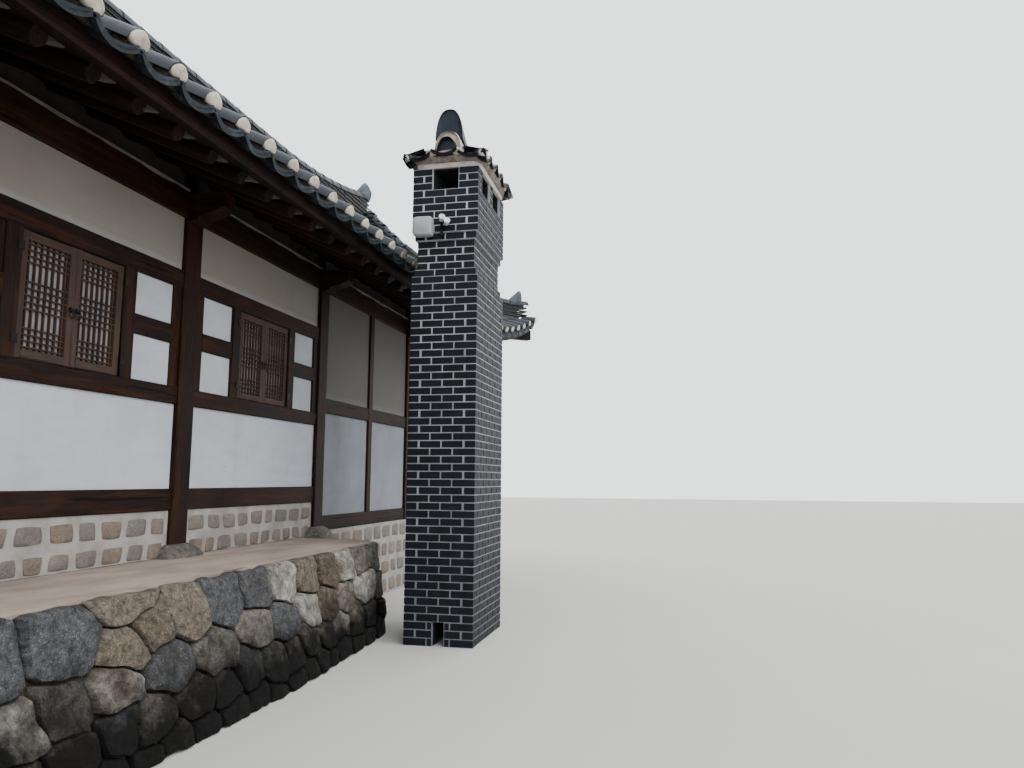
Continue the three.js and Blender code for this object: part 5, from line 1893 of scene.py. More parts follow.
@dataclass
class SplitStones:
    """Split stones fitted together over a wall's face, each with a broken, faceted front."""

    shell: Shell
    place: Place
    heights: Span
    joint: float = 0.014
    sunk: float = 0.13
    proud: float = 0.035
    slope: float = 0.13
    stray: float = 0.03
    roughness: float = 0.02
    corner_cut: float = 0.05
    count: int = 28
    reach: float = 1.6
    # How much more than sideways the stones part up and down, which keeps their beds level
    level: float = 2.2

    def cell(self, seed: Vector, seeds: Sequence[Vector], span: Span) -> list[Vector]:
        """The part of the wall's face that lies closer to one seed than to the others.

        Args:
            seed: the stone's middle, along the wall and up.
            seeds: all the middles.
            span: where the wall starts and ends.

        Returns:
            The corners of that part.
        """
        low, high = self.heights
        corners = [Vector((x, z)) for x, z in ((span[0], low), (span[1], low), (span[1], high),
                                               (span[0], high))]
        for other in seeds:
            between = other - seed
            if not 0 < between.length < self.reach:
                continue
            middle = (seed + other) / 2
            parting = Vector((between.x, between.y * self.level))
            kept = []
            for a, b in zip(corners, corners[1:] + corners[:1]):
                here, there = (a - middle).dot(parting), (b - middle).dot(parting)
                if here <= 0:
                    kept.append(a)
                if here * there < 0:
                    kept.append(a.lerp(b, here / (here - there)))
            corners = kept
        return corners

    def boundary(self, corners: Sequence[Vector]) -> list[Vector]:
        """Even steps round a stone, its corners blunted and its sides strayed as its neighbours' are."""
        cut = []
        for i, corner in enumerate(corners):
            cut += [corner.lerp(corners[i - 1], self.corner_cut),
                    corner.lerp(corners[(i + 1) % len(corners)], self.corner_cut)]
        sides = list(zip(cut, cut[1:] + cut[:1]))
        total = sum((b - a).length for a, b in sides)
        loop: list[Vector] = []
        walked = 0.0
        for a, b in sides:
            length = (b - a).length
            while len(loop) < self.count and len(loop) * total / self.count < walked + length:
                spot = a.lerp(b, (len(loop) * total / self.count - walked) / length)
                drift = Vector((rough(Vector((spot.x, spot.y, 3.0)), 0.2, 3),
                                rough(Vector((spot.x, spot.y, 9.0)), 0.2, 3)))
                spot = spot + drift * self.stray
                loop.append(Vector((spot.x, min(max(spot.y, self.heights[0]), self.heights[1]))))
            walked += length
        return loop

    def stone(self, corners: Sequence[Vector], tone: float | None) -> None:
        """Adds one stone.

        Args:
            corners: the corners of its cell.
            tone: its shade, drawn at random if None.
        """
        rng = self.shell.rng
        loop = self.boundary(corners)
        centre = sum(loop, Vector((0.0, 0.0))) / len(loop)
        own = Vector([rng.uniform(0, 60) for _ in range(3)])
        size = sum((p - centre).length for p in loop) / len(loop)
        planes = [(self.proud * rng.uniform(0.7, 1.2),
                   Vector((rng.uniform(-self.slope, self.slope), rng.uniform(-self.slope, self.slope))))
                  for _ in range(3)]
        rings, grain = [], []
        for share, keep, edge in ((0.84, 0.0, -self.sunk), (1.0, 0.0, -0.03), (0.99, 0.25, -0.006),
                                  (0.94, 0.8, 0.0), (0.8, 1.0, 0.0), (0.6, 1.0, 0.0), (0.38, 1.0, 0.0),
                                  (0.15, 1.0, 0.0)):
            ring, spots = [], []
            for point in loop:
                spot = centre.lerp(point, share * (1 - self.joint / 2 / size))
                flat = own + Vector((spot.x, spot.y, 0.0))
                face = min(level + lean.dot(spot - centre) for level, lean in planes)
                out = edge + keep * (face + self.roughness * rough(flat, 0.13, 4))
                ring.append(self.place(spot.x, spot.y, out))
                spots.append(flat)
            rings.append(ring)
            grain.append(spots)
        self.shell.loft(rings, grain, tone)

    def lay(self, seeds: Sequence[tuple[float, float, float | None]], span: Span) -> None:
        """Adds all the stones of a wall.

        Args:
            seeds: each stone's middle along the wall and up, and its shade.
            span: where the wall starts and ends.
        """
        middles = [Vector((along, z)) for along, z, _ in seeds]
        for middle, (_, _, tone) in zip(middles, seeds):
            corners = self.cell(middle, middles, span)
            if len(corners) > 2:
                self.stone(corners, tone)


@dataclass
class StonePlatform:
    """The platform that the near bays stand on: split stones round packed earth, rammed on top."""

    plan: Plan
    # Usual height of each row's stones at the near end and at the far corner, and their spacing
    rows: tuple[tuple[float, float, float], ...] = (
        (0.69, 0.77, 0.43), (0.33, 0.54, 0.4), (0.11, 0.31, 0.3), (-0.06, 0.1, 0.27))
    # Place along the house, height and shade of the stones of the front's top row, near the far corner
    front_top: tuple[tuple[float, float, float], ...] = (
        (-3.76, 0.66, 0.0), (-3.21, 0.68, 0.02), (-2.86, 0.6, 0.62), (-2.78, 0.83, 0.55), (-2.6, 0.68, 0.7),
        (-2.3, 0.69, 0.58), (-1.86, 0.7, 0.02), (-1.5, 0.71, 0.1), (-1.1, 0.72, 1.0), (-0.68, 0.73, 0.6),
        (-0.3, 0.74, 0.72), (0.02, 0.76, 0.93), (0.4, 0.77, 0.42), (0.85, 0.77, 0.36))
    near: float = -7.09
    far: float = 1.16
    half: float = 2.29
    top: float = 0.886
    batter: float = 0.24
    batter_fade: float = -1.06
    corner_batter: float = 0.12
    corner: float = 0.42
    far_end: float = 1.679
    plinth_half: float = 1.375
    set_in: float = 0.035

    def corner_points(self, down: float) -> list[Vector]:
        """The platform's rounded front corner: down is 0 at its top and 1 on the ground."""
        centre = Vector((self.far - self.corner, -self.half - down * self.corner_batter + self.corner))
        return [centre + Vector((math.sin(a), -math.cos(a))) * self.corner
                for a in steps_between(0.0, math.pi / 2, 0.2)]

    def outline(self, down: float) -> list[Vector]:
        """The platform's whole edge, seen from above and counted against the clock."""
        half = self.half + down * self.batter
        front = [Vector((self.near - down * self.batter, -half)), Vector((self.batter_fade, -half))]
        front += self.corner_points(down)
        front += [Vector((self.far, -self.plinth_half)), Vector((self.far_end, -self.plinth_half))]
        return front + [Vector((p.x, -p.y)) for p in front[::-1]]

    def ring(self, down: float, z: float, inset: float, stray: float) -> list[Vector]:
        """The edge at a height, set in from the stones' faces and a little ragged."""
        loop, plain = self.outline(down), self.outline(0.0)
        ring = []
        for i, start in enumerate(loop):
            j = (i + 1) % len(loop)
            ahead, behind = (loop[j] - start).normalized(), (start - loop[i - 1]).normalized()
            inward, before = Vector((-ahead.y, ahead.x)), Vector((-behind.y, behind.x))
            count = math.ceil((plain[j] - plain[i]).length / 0.12)
            for k in range(count):
                normal = inward if k else (inward + before) / (1 + inward.dot(before))
                flat = start.lerp(loop[j], k / count)
                depth = inset + stray * rough(Vector((flat.x, flat.y, inset * 9)), 0.25, 3)
                if flat.x < self.far_end - 0.01:
                    flat = flat + normal * depth
                ring.append(Vector((flat.x, flat.y + self.plan.axis_y, z)))
        return ring

    def build(self) -> None:
        """Builds the stones, the earth behind them and the rammed top."""
        top = z_range("stone_base")[0]
        stones = Shell(90)
        outline = self.outline(0.0)
        front = [outline[0]] + outline[2:len(outline) // 2]
        near = [Vector((self.near, self.half)), Vector((self.near, -self.half))]
        self.face(stones, front, self.front_top)
        self.face(stones, [Vector((p.x, -p.y)) for p in front], ())
        self.face(stones, near, ())
        put(stones.build("platform_stones", Finishes.field_granite, 42), "rough_granite", "platform")
        # Each level's share of the way down, height, depth behind the stones' faces and raggedness
        earth = ((1.0, 0.0, 0.065, 0.02), (0.5, 0.44, 0.065, 0.02), (0.0, top - 0.03, 0.07, 0.015))
        crust = ((0.0, top - 0.06, 0.08, 0.03), (0.0, top - 0.01, 0.07, 0.035),
                 (0.0, top - 0.002, 0.085, 0.035))
        for name, finish, levels in (("platform_earth", Finishes.packed_earth, earth),
                                     ("platform_top", Finishes.lime_earth, crust)):
            heart = Shell(91)
            heart.loft([self.ring(*level) for level in levels])
            put(heart.build(name, finish, 50), "rough_granite", "platform")
        self.pads()

    def leant(self, flat: Vector, down: float) -> Vector:
        """Moves a point of the top edge out to where the leaning face is at a height."""
        spot = flat.copy()
        near_share = max(0.0, 1 - (flat.x - self.near) / 0.8)
        side_share = max(0.0, 1 - (self.half - abs(flat.y)) / 0.8)
        fade_run = self.far - self.corner - self.batter_fade
        fade = min(1.0, max(0.0, (flat.x - self.batter_fade) / fade_run))
        depth = self.batter + (self.corner_batter - self.batter) * fade
        on_end = flat.x < self.near + 1e-4
        spot.x -= self.batter * down * (1.0 if on_end else near_share)
        spot.y += math.copysign(depth * down * (side_share if on_end else 1.0), flat.y)
        return spot

    def face(self, shell: Shell, run: Sequence[Vector], given: Sequence[tuple[float, float, float]]) -> None:
        """Lays the stones along one stretch of the outline.

        Args:
            shell: the mesh that they join.
            run: the stretch's corners.
            given: stones of the top row that are listed one by one.
        """
        lengths = [0.0]
        for a, b in zip(run, run[1:]):
            lengths.append(lengths[-1] + (b - a).length)
        middle = Vector((self.near + 3.0, 0.0))

        def place(along: float, z: float, proud: float) -> Vector:
            """A point on the leaning face, from its place along the run, height and depth."""
            spot = min(max(along, 0.0), lengths[-1] - 1e-4)
            k = max(i for i in range(len(lengths) - 1) if lengths[i] <= spot)
            ahead = (run[k + 1] - run[k]).normalized()
            flat = run[k] + ahead * (spot - lengths[k])
            normal = Vector((ahead.y, -ahead.x))
            normal = -normal if normal.dot(flat - middle) < 0 else normal
            flat = self.leant(flat, 1 - z / self.top) + normal * (proud - self.set_in)
            return Vector((flat.x, flat.y + self.plan.axis_y, z))

        total = lengths[-1]
        first = given[0][0] - self.near - 0.25 if given else total
        last = given[-1][0] - self.near + 0.25 if given else total
        seeds: list[tuple[float, float, float | None]] = [
            (x - self.near, z, tone) for x, z, tone in given]
        for level, (near_z, far_z, spacing) in enumerate(self.rows):
            along = spacing * shell.rng.uniform(0.2, 0.5)
            while along < total:
                z = near_z + (far_z - near_z) * along / total + shell.rng.uniform(-0.05, 0.05)
                if level or not first < along < last:
                    seeds.append((along, z, None))
                along += spacing * shell.rng.uniform(0.7, 1.3)
        SplitStones(shell, place, (0.0, self.top)).lay(seeds, (0.0, total))

    def pads(self) -> None:
        """Builds the worn foundation stones under the posts."""
        shell = Shell(93)
        top, foot = z_range("platform")[1], z_range("stone_base")[0]
        for number in range(4):
            for side in LONG_SIDES:
                centre = self.plan.on_wall(side, self.plan.posts[number], 0.0, 0.0)
                rings = []
                turn = shell.rng.uniform(0, 6)
                for reach, z in ((0.255, foot - 0.03), (0.25, foot + 0.01), (0.225, foot + 0.045),
                                 (0.185, top - 0.022), (0.15, top - 0.002), (0.1, top)):
                    ring = []
                    for angle in turns(22):
                        square = 1 / max(abs(math.cos(angle)), abs(math.sin(angle))) ** 0.45
                        flat = Vector((math.cos(angle), math.sin(angle) * 0.9, 0)) * reach * square
                        lump = 1 + 0.09 * rough(flat * 7 + Vector((turn, number, z * 8)), 1.0, 3)
                        ring.append(Vector((centre.x, centre.y, z)) + flat * lump)
                    rings.append(ring)
                shell.loft(rings)
        put(shell.build("post_pads", Finishes.pad_stone, 60), "rough_granite", "platform")


@dataclass
class StoneBase:
    """Squared stones in wide white joints, under the lower beams and round the plinth."""

    plan: Plan
    out: float = 0.073
    inside: float = 0.135
    sunk: float = 0.02
    bulge: float = 0.008
    edge: float = 0.012
    plinth_rows: int = 4

    def build(self) -> None:
        """Builds the base of the near bays and the far plinth."""
        heights = z_range("stone_base")
        stones, mortar = Shell(80), Shell(81)
        posts, half_post = self.plan.posts, self.plan.post / 2
        for side in LONG_SIDES:
            for bay in range(3):
                span = (posts[bay] + half_post, posts[bay + 1] - half_post)
                self.panel(stones, mortar, side, span, heights)
        reach = self.plan.half_depth - half_post
        self.panel(stones, mortar, Side.NEAR, (-reach, reach), heights)
        put(stones.build("base_stones", Finishes.base_stone, 55), "base_stone", "stone_base")
        put(mortar.build("base_mortar", Finishes.base_mortar), "base_stone", "stone_base")
        self.plinth()

    def panel(self, stones: Shell, mortar: Shell, side: Side, span: Span, heights: Span) -> None:
        """Lays two rows of stones in a mortar panel."""
        low, high = heights
        start, end = (self.plan.on_wall(side, along, (self.out - self.inside) / 2, (low + high) / 2)
                      for along in span)
        mortar.beam(start, end, self.out + self.inside - 0.004, high - low, chamfer=0.003, step=0.3)
        rise = high - low
        rows = Masonry(stones, self.plan.wall_place(side, self.out), self.bulge, self.sunk, 0.26, 0.007,
                       0.04, (7, 6))
        rows.course((span[0] + 0.02, span[1] - 0.02), (low + rise * 0.45, high - 0.02), 0.262, 0.22)
        rows.course((span[0] + 0.05, span[1] - 0.03), (low - 0.02, low + rise * 0.42), 0.236, 0.25)

    def plinth(self) -> None:
        """Builds the far plinth: rows of squared stones in mortar."""
        low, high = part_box("far_plinth")
        stones, mortar = Shell(82), Shell(83)
        axis, edge = self.plan.axis_y, self.edge
        half_y = (high.y - low.y) / 2
        start, end = (Vector((x, axis, high.z / 2)) for x in (low.x, high.x - edge))
        mortar.beam(start, end, 2 * half_y - 2 * edge, high.z, chamfer=0.004)
        faces = [(lambda s, z, p, w=w: Vector((s, axis + w * (half_y - edge + p), z)), (low.x, high.x))
                 for w in (-1, 1)]
        faces.append((lambda s, z, p: Vector((high.x - edge + p, axis + s, z)), (-half_y, half_y)))
        course = high.z / self.plinth_rows
        for place, span in faces:
            rows = Masonry(stones, place, self.bulge, self.sunk, 0.35, 0.008, 0.03, (7, 6))
            for row in range(self.plinth_rows):
                foot = course * row
                rows.course((span[0] + 0.01, span[1] - 0.01), (foot + 0.01, foot + course - 0.004),
                            0.3, 0.25)
        put(stones.build("plinth_stones", Finishes.base_stone, 55), "base_stone", "far_plinth")
        put(mortar.build("plinth_mortar", Finishes.base_mortar), "base_stone", "far_plinth")


# Chimney

@dataclass
class Chimney:
    """A free-standing shaft of black bricks with vents under a small tiled cap."""

    layer: Layer
    course: float = 0.072
    joint: float = 0.011
    head_joint: float = 0.015
    depth: float = 0.1
    count: int = 63
    neck: tuple[int, int] = (49, 53)
    inset: float = 0.045
    wall: float = 0.21
    # Depths behind the bricks' faces between which the pale joints show; soot covers the rest, which is also
    # painted shade in the vents and the flue
    joint_depths: Span = (0.005, 0.03)
    vent_courses: tuple[int, int] = (60, 63)
    soot_courses: tuple[int, int] = (0, 3)
    vent_half: float = 0.13
    side_vent: Span = (0.22, 0.165)
    soot_half: float = 0.055
    cap_droop: float = 0.07
    # Length of the cap's tiles, width of its hollow ones as modelled, and the cover tiles' scale
    cap_tile: float = 0.3
    cap_tile_width: float = 0.3
    cap_cover_scale: float = 0.85
    cap_plug_scale: float = 0.8
    box_size: float = 0.095

    def __post_init__(self) -> None:
        """Reads the shaft's place."""
        low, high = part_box("chimney_shaft")
        self.middle = (low + high) / 2
        self.axis = Vector((self.middle.x, self.middle.y, 0))
        self.half_x = (high.x - low.x) / 2
        self.half_y = (high.y - low.y) / 2
        self.top = high.z

    def inset_at(self, row: int) -> float:
        """How far a course is drawn in."""
        if self.neck[0] <= row < self.neck[1]:
            return self.inset
        return self.inset / 2 if row in (self.neck[0] - 1, self.neck[1]) else 0.0

    def open_at(self, side: Side, row: int) -> list[Span]:
        """Openings through a side at a course, as a middle and half a width."""
        vents = row in range(*self.vent_courses)
        if side is Side.NEAR and vents:
            return [(0.0, self.vent_half)]
        if side is Side.NEAR and row in range(*self.soot_courses):
            return [(0.0, self.soot_half)]
        middle, half = self.side_vent
        return [(-middle, half), (middle, half)] if side is Side.FRONT and vents else []

    def pieces_of(self, low: float, high: float, gaps: Sequence[Span]) -> list[Span]:
        """What is left of a span once openings are cut from it."""
        spans = [(low, high)]
        for middle, half in gaps:
            left = [(a, min(b, middle - half)) for a, b in spans]
            right = [(max(a, middle + half), b) for a, b in spans]
            spans = [(a, b) for a, b in left + right if b - a > 0.03]
        return spans

    def face_length(self, side: Side, row: int) -> float:
        """Half the length of a side at a course."""
        return (self.half_x if side in LONG_SIDES else self.half_y) - self.inset_at(row)

    def on_face(self, side: Side, row: int, along: float, inwards: float, z: float) -> Vector:
        """A point on or inside a side's face."""
        half = (self.half_y if side in LONG_SIDES else self.half_x) - self.inset_at(row)
        flat = side.along * along + side.outward * (half - inwards)
        return self.axis + flat + UP * z

    def bricks(self) -> list[Guide]:
        """Guides of all the bricks, in running bond, cut at the openings."""
        guides = []
        for row in range(self.count):
            z = (row + 0.5) * self.course
            for side in Side:
                half = self.face_length(side, row)
                runs_through = (side in LONG_SIDES) == (row % 2 == 1)
                usual = 5 if side in LONG_SIDES else 3
                module = 2 * half / usual
                reach = half if runs_through else half - self.depth - self.head_joint
                first = -half if runs_through else -half + module / 2
                for i in range(usual if runs_through else usual - 1):
                    a = max(first + i * module, -reach)
                    b = min(first + (i + 1) * module, reach)
                    for low, high in self.pieces_of(a, b, self.open_at(side, row)):
                        ends = runs_through and i in (0, usual - 1)
                        length = high - low - self.head_joint * (0.5 if ends else 1)
                        shift = self.head_joint / 4 * (1 if i else -1) if ends else 0.0
                        spot = self.on_face(side, row, (low + high) / 2 + shift, self.depth / 2, z)
                        guides.append(Guide(spot, UP, side.along, Vector((1.0, length, 1.0))))
        return guides

    def joints(self, outer: float, inner: float) -> Shell:
        """The shaft's wall between two depths behind its faces, cut at the openings.

        Args:
            outer: how far behind the faces it starts.
            inner: how far behind the faces it ends.

        Returns:
            The walls, hollow for the flue.
        """
        def section(row: int) -> tuple[float, list[list[Span]]]:
            """What two courses have to share to be one wall."""
            return self.inset_at(row), [self.open_at(side, row) for side in Side]

        shell = Shell(100)
        row = 0
        while row < self.count:
            last = row
            while last + 1 < self.count and section(last + 1) == section(row):
                last += 1
            z0, z1 = row * self.course, (last + 1) * self.course
            for side in Side:
                half = self.face_length(side, row) - (outer if side in LONG_SIDES else inner)
                for span in self.pieces_of(-half, half, self.open_at(side, row)):
                    start, end = (self.on_face(side, row, along, (outer + inner) / 2, (z0 + z1) / 2)
                                  for along in span)
                    shell.beam(start, end, inner - outer, z1 - z0, chamfer=0.0004, wobble=0.0, step=9.0)
            row = last + 1
        return shell

    def build(self) -> None:
        """Builds the shaft, the cap and the small box with its lamps."""
        unit = Shell(1)
        unit.beam(-ACROSS / 2, ACROSS / 2, self.depth, self.course - self.joint, chamfer=0.003,
                  wobble=0.0, step=2.0)
        piece = self.layer.lay("chimney_bricks", self.bricks(), unit, Finishes.black_brick, 61, 0.003,
                               0.003)
        put(piece, "black_brick", "chimney_shaft")
        put(self.joints(*self.joint_depths).build("chimney_joints", Finishes.brick_joint), "lime_mortar",
            "chimney_shaft")
        soot = self.joints(self.joint_depths[1], self.wall)
        # A near black lid closes the flue below the cap: soot, and painted shade seen through the vents
        lid = Vector((self.half_x - 0.03, 0.0, -0.008))
        crown = Vector((self.middle.x, self.middle.y, self.top))
        soot.beam(crown - lid + UP * 2 * lid.z, crown + lid, 2 * self.half_y - 0.06, 0.012,
                  chamfer=0.001, wobble=0.0, step=9.0)
        put(soot.build("chimney_soot", Finishes.soot), "black_brick", "chimney_shaft")
        self.cap()
        self.top_tile()
        self.fittings()

    def cap(self) -> None:
        """Builds the lime band and the little hipped roof of tiles."""
        band_foot, roof_top = z_range("chimney_cap")
        low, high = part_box("chimney_cap")
        band, bed = Shell(101), Shell(102)
        band.loft([self.rounded(self.half_x + grow, self.half_y + grow, band_foot + rise, 0.012, 0.004)
                   for rise, grow in ((0.0, -0.004), (0.02, 0.004), (0.05, 0.006))])
        put(band.build("cap_band", Finishes.cap_lime, 60), "lime_mortar", "chimney_cap")
        eave = band_foot + 0.045
        over_x, over_y = (high.x - low.x) / 2 - 0.03, (high.y - low.y) / 2 - 0.03
        levels = ((self.half_x + 0.003, self.half_y + 0.003, -0.005), (over_x * 0.97, over_y * 0.97, 0.028),
                  (over_x, over_y, 0.05), (over_x * 0.97, over_y * 0.97, 0.07),
                  (self.half_x * 0.9, self.half_y * 0.42, roof_top - eave - 0.01))
        bed.loft([self.rounded(x, y, eave + rise, 0.02, 0.009) for x, y, rise in levels])
        put(bed.build("cap_bed", Finishes.cap_bed, 60), "lime_mortar", "chimney_cap")
        self.cap_tiles(eave, over_x + 0.03, over_y + 0.03, roof_top)

    def rounded(self, half_x: float, half_y: float, z: float, radius: float, stray: float) -> list[Vector]:
        """A rectangle round the shaft's axis, with soft corners and slightly uneven sides."""
        ring = []
        for angle in turns(40):
            c, s = math.cos(angle), math.sin(angle)
            reach = 1 / max(abs(c) / half_x, abs(s) / half_y)
            x, y = c * reach, s * reach
            limit = half_x - radius * (abs(y) > half_y - 1e-4)
            x = max(-limit, min(limit, x))
            wave = stray * rough(Vector((x * 4, y * 4, z * 3)), 1.0, 2)
            ring.append(self.axis + Vector((x + wave * (1 if x > 0 else -1),
                                            y + wave * (1 if y > 0 else -1), z + wave * 0.5)))
        return ring

    def cap_tiles(self, eave: float, over_x: float, over_y: float, top: float) -> None:
        """Lays the small tiles: hollow ones with plugged cover tiles between them on each side.

        Args:
            eave: height of the cap's eave.
            over_x: half the eaves' size along the house.
            over_y: half their size across it.
            top: height of the cap's ridge.
        """
        covers: list[Guide] = []
        flats: list[Guide] = []
        plugs: list[Guide] = []
        size, slim = self.cap_tile, self.cap_cover_scale
        plug_size = Vector((1.0, 1.0, 1.0)) * self.cap_plug_scale
        for side in Side:
            is_long = side in LONG_SIDES
            half_eave, out, usual = (over_x, over_y, 5) if is_long else (over_y, over_x, 3)
            width = 2 * half_eave / usual
            widened = width / self.cap_tile_width
            rise = top - eave - 0.07
            inward = over_y - self.half_y * 0.22 if is_long else over_x - self.half_x * 0.6
            uphill = (UP * rise - side.outward * inward).normalized()
            facing = side.along.cross(uphill)
            facing = facing if facing.z > 0 else -facing
            slope_length = math.hypot(rise, inward)
            for i in range(2 * usual - 1):
                # Hollow tiles lie at the even places and cover tiles between them
                is_cover = i % 2 == 1
                along = -half_eave + (i + 1) / 2 * width
                droop = self.cap_droop * (abs(along) / half_eave) ** 2
                above, back = (0.066, 0.035) if is_cover else (0.052, 0.012)
                spot = Vector((self.middle.x, self.middle.y, eave + above - droop))
                spot += side.along * along + side.outward * (out - back)
                if is_cover:
                    room = slope_length * (0.97 if 1 < i // 2 + 1 < usual - 1 or usual == 3 else 0.9)
                    covers.append(Guide(spot, facing, uphill,
                                        Vector((slim, min(size, room) / size, slim))))
                    plugs.append(Guide(spot + UP * 0.006, facing, uphill, plug_size))
                else:
                    room = slope_length * (0.95 if 0 < i // 2 < usual - 1 else 0.62)
                    flats.append(Guide(spot, facing, uphill,
                                       Vector((widened, min(size, room) / size, 1.0))))
                    flats.append(Guide(spot + side.outward * 0.004 - UP * 0.02, facing, uphill,
                                       Vector((widened, 0.3, 1.0))))
        for x, y in ((-1, -1), (-1, 1), (1, -1), (1, 1)):
            tip, crest = (Vector((self.middle.x + x * out_x, self.middle.y + y * out_y, z))
                          for out_x, out_y, z in ((over_x - 0.03, over_y - 0.03, eave + 0.03),
                                                  (self.half_x * 0.6, self.half_y * 0.2, top + 0.012)))
            uphill = (crest - tip).normalized()
            facing = uphill.cross(UP).cross(uphill).normalized()
            covers.append(Guide(tip, facing, uphill, Vector((slim, (crest - tip).length / size, slim))))
            plugs.append(Guide(tip, facing, uphill, plug_size))
        flat = arched_tile(-0.24, 76, size, 0.014, 8, 1.0, 0.012)
        cover = arched_tile(0.07, COVER_SWEEP, size, 0.012, 8, 1.05, 0.004)
        put(self.layer.lay("cap_flat_tiles", flats, flat, Finishes.cap_tile, 71, 0.02, 0.02, 50),
            "roof_tile", "chimney_cap")
        put(self.layer.lay("cap_cover_tiles", covers, cover, Finishes.cap_tile, 72, 0.02, 0.03, 50),
            "roof_tile", "chimney_cap")
        put(self.layer.lay("cap_plugs", plugs, RoofTiles(self.layer).plug(), Finishes.lime_plug, 73, 0.05,
                           0.08, 60), "lime_mortar", "chimney_cap")

    def top_tile(self) -> None:
        """Builds the cap's ridge: an open cover tile in a collar of lime, and a leaf tile reared over it."""
        low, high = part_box("chimney_top_tile")
        middle, half, length = (low.y + high.y) / 2, (high.y - low.y) / 2, high.x - low.x

        def body(seed: int, *sections: tuple[float, float, float, float]) -> Shell:
            """A closed half-round body through sections: place from the front, foot, top and half width."""
            rings = []
            for ahead, foot, top, share in sections:
                rings.append([Vector((low.x + ahead, middle - math.cos(a) * (half * share),
                                      foot + (top - foot) * (1 - abs(math.cos(a)) ** 2.6) ** 0.5))
                              for a in steps_between(0.0, math.pi, 0.22)])
            shell = Shell(seed)
            shell.loft(rings)
            return shell

        leaf = body(104, (0.075, 4.87, 4.92, 0.8), (0.05, 4.87, high.z, 0.86), (0.03, 4.87, high.z, 1.0),
                    (0.06, 4.86, high.z, 1.0), (0.16, 4.83, 5.1, 0.98), (0.3, 4.78, 5.0, 0.95),
                    (0.47, 4.74, 4.935, 0.9), (length - 0.02, 4.73, 4.925, 0.8), (length, 4.74, 4.9, 0.7))
        put(leaf.build("cap_leaf_tile", Finishes.cap_tile, 40), "roof_tile", "chimney_top_tile")
        bed = body(105, (0.02, 4.68, 4.925, 0.98), (-0.01, 4.68, 4.93, 1.0), (0.05, 4.7, 4.95, 1.02),
                   (0.3, 4.7, 4.9, 1.0), (length - 0.03, 4.7, 4.86, 0.92))
        put(bed.build("cap_top_bed", Finishes.lime_plug, 50), "lime_mortar", "chimney_top_tile")
        mouth = body(106, (-0.02, 4.66, 4.83, 0.66), (-0.055, 4.655, 4.845, 0.7),
                     (-0.065, 4.655, 4.85, 0.72), (0.03, 4.66, 4.86, 0.74))
        put(mouth.build("cap_ridge_mouth", Finishes.cap_tile, 40), "roof_tile")

    def fittings(self) -> None:
        """Builds the small steel box and the twin lamps on the side that faces along the house."""
        box, lamps, brackets = Shell(110), Shell(111), Shell(112)
        row = 55
        out, across = Side.NEAR.outward, Side.NEAR.along
        centre = self.on_face(Side.NEAR, row, 0.205, -0.045, 3.935)
        rings = []
        for depth, size in ((-0.045, 0.93), (-0.04, 1.0), (0.03, 1.0), (0.042, 0.93), (0.046, 0.85)):
            ring = []
            for angle in turns(24):
                c, s = math.cos(angle), math.sin(angle)
                reach = self.box_size * size / (abs(c) ** 9 + abs(s) ** 9) ** (1 / 9)
                ring.append(centre + across * c * reach + UP * s * reach + out * depth)
            rings.append(ring)
        box.loft(rings)
        put(box.build("junction_box", Finishes.zinc, 40), "black_brick")
        mount = self.on_face(Side.NEAR, row, 0.03, -0.004, 3.96)
        brackets.beam(mount - UP * 0.12, mount + UP * 0.03, 0.02, 0.03, up=out, chamfer=0.004)
        for shift, lift in ((-0.01, 0.03), (-0.06, -0.01)):
            head = mount + across * shift + UP * lift + out * 0.05
            aim = (out * 0.75 + UP * 0.3 - across * 0.35).normalized()
            lamps.pole(head, head + aim * 0.055, 0.024, 1.3, 16, 0.0)
            brackets.pole(mount - UP * 0.05, head, 0.009, 1.0, 8, 0.0)
        put(lamps.build("lamp_heads", Finishes.lamp_glass, 50), "black_brick")
        put(brackets.build("lamp_brackets", Finishes.iron, 50), "black_brick")


# Studio

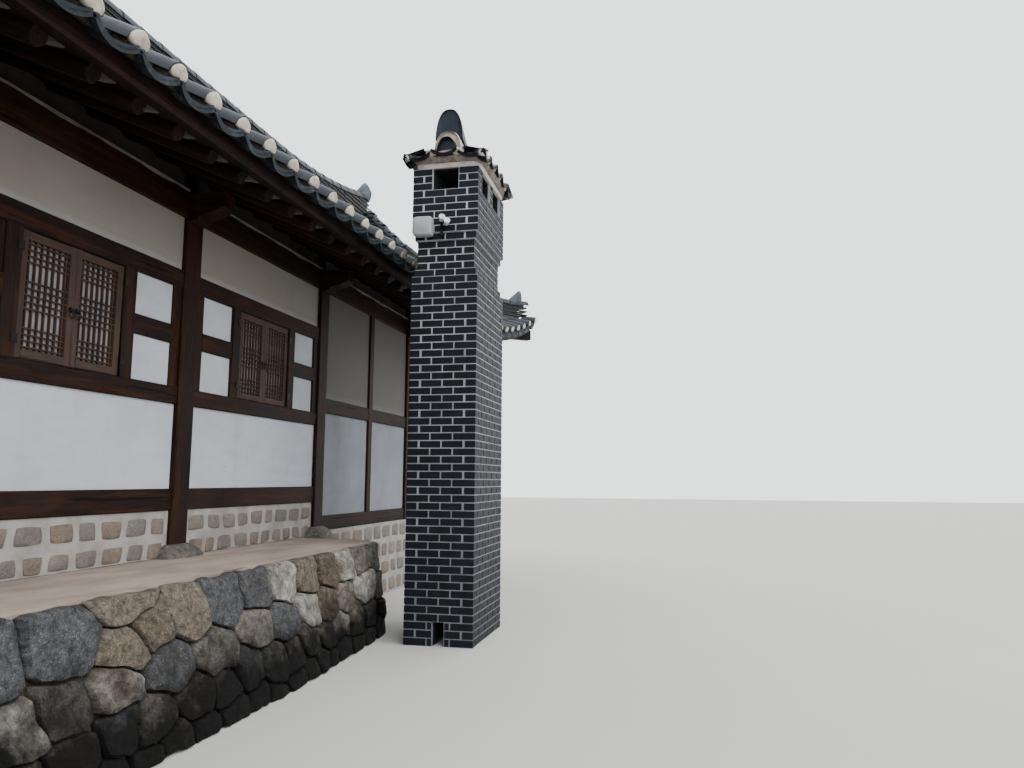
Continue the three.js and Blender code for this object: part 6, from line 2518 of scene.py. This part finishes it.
@dataclass
class Studio:
    """Camera at the photograph's place, a pale floor, soft light and a pale sky."""

    eye: Vector = field(default_factory=lambda: Vector((-6.6185, -4.875, 1.511)))
    yaw: float = 12.19
    pitch: float = 6.97
    roll: float = 0.38
    focal_pixels: float = 782.4
    clip_end: float = 300.0
    floor_half: float = 60.0
    sun_energy: float = 2.2
    sun_spread: float = 60.0
    sun_tilt: float = 48.0
    sun_turn: float = -28.0
    sky_colour: str = "#eef1f4"
    sky_strength: float = 2.5

    def camera(self) -> None:
        """Sets up the camera."""
        data = bpy.data.cameras.new("view")
        data.sensor_width = SENSOR_WIDTH
        data.lens = self.focal_pixels / PHOTO_WIDTH * SENSOR_WIDTH
        data.clip_end = self.clip_end
        camera = bpy.data.objects.new("view", data)
        yaw, pitch = math.radians(self.yaw), math.radians(self.pitch)
        forward = Vector((math.cos(pitch) * math.cos(yaw), math.cos(pitch) * math.sin(yaw),
                          math.sin(pitch)))
        right = Vector((math.sin(yaw), -math.cos(yaw), 0.0))
        upward = right.cross(forward)
        turn = Matrix.Rotation(-math.radians(self.roll), 3, forward)
        axes = Matrix((turn @ right, turn @ upward, -forward)).transposed().to_4x4()
        camera.matrix_world = Matrix.Translation(self.eye) @ axes
        bpy.context.scene.camera = link(camera)

    def floor(self) -> None:
        """Lays the studio floor."""
        half = self.floor_half
        mesh = bpy.data.meshes.new("studio_floor")
        corners = [(-half, -half, 0), (half, -half, 0), (half, half, 0), (-half, half, 0)]
        mesh.from_pydata(corners, [], [(0, 1, 2, 3)])
        mesh.materials.append(Finishes.studio.material())
        link(bpy.data.objects.new("studio_floor", mesh))

    def lights(self) -> None:
        """Adds a wide soft sun and a pale sky."""
        sun_data = bpy.data.lights.new("key", "SUN")
        sun_data.energy = self.sun_energy
        sun_data.angle = math.radians(self.sun_spread)
        sun = link(bpy.data.objects.new("key", sun_data))
        sun.rotation_euler = Euler((math.radians(self.sun_tilt), 0.0, math.radians(self.sun_turn)))
        world = bpy.data.worlds.new("sky")
        world.use_nodes = True
        background = world.node_tree.nodes["Background"]
        background.inputs["Color"].default_value = linear(self.sky_colour)
        background.inputs["Strength"].default_value = self.sky_strength
        bpy.context.scene.world = world

    def build(self) -> None:
        """Builds the studio."""
        self.camera()
        self.floor()
        self.lights()


def dress_nodes() -> None:
    """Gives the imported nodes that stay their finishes."""
    plaster = [f"{side}_wall_{k}" for side in ("front", "back") for k in range(1, 6)]
    plaster += ["near_end_wall", "far_end_wall"]
    # Walls 4 and 5 take the plaster darkened with painted shade
    kept = {name: Finishes.far_plaster if name[-1] in "45" else Finishes.lime_plaster
            for name in plaster}
    kept.update({"near_floor": Finishes.clay_floor, "far_floor": Finishes.clay_floor})
    for name, finish in kept.items():
        materials = frame["nodes"][name].data.materials
        materials.clear()
        materials.append(finish.material())
        log.info("%s keeps its packed shape", name)


def main() -> None:
    """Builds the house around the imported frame."""
    logging.basicConfig(level=logging.INFO, format="%(message)s")
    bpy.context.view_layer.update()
    plan = Plan.read()
    layer = Layer()
    slopes = [Slope(plan, side) for side in Side]
    front, back = slopes[0], slopes[1]
    tiles = RoofTiles(layer)
    tiles.build(slopes)
    Eaves().build(slopes, tiles)
    Ridges(layer).build(front, back)
    Gables().build(front)
    TimberFrame(plan).build()
    Windows(plan, layer).build()
    StoneBase(plan).build()
    StonePlatform(plan).build()
    Chimney(layer).build()
    dress_nodes()
    Studio().build()
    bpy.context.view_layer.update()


if __name__ == "__main__":
    main()
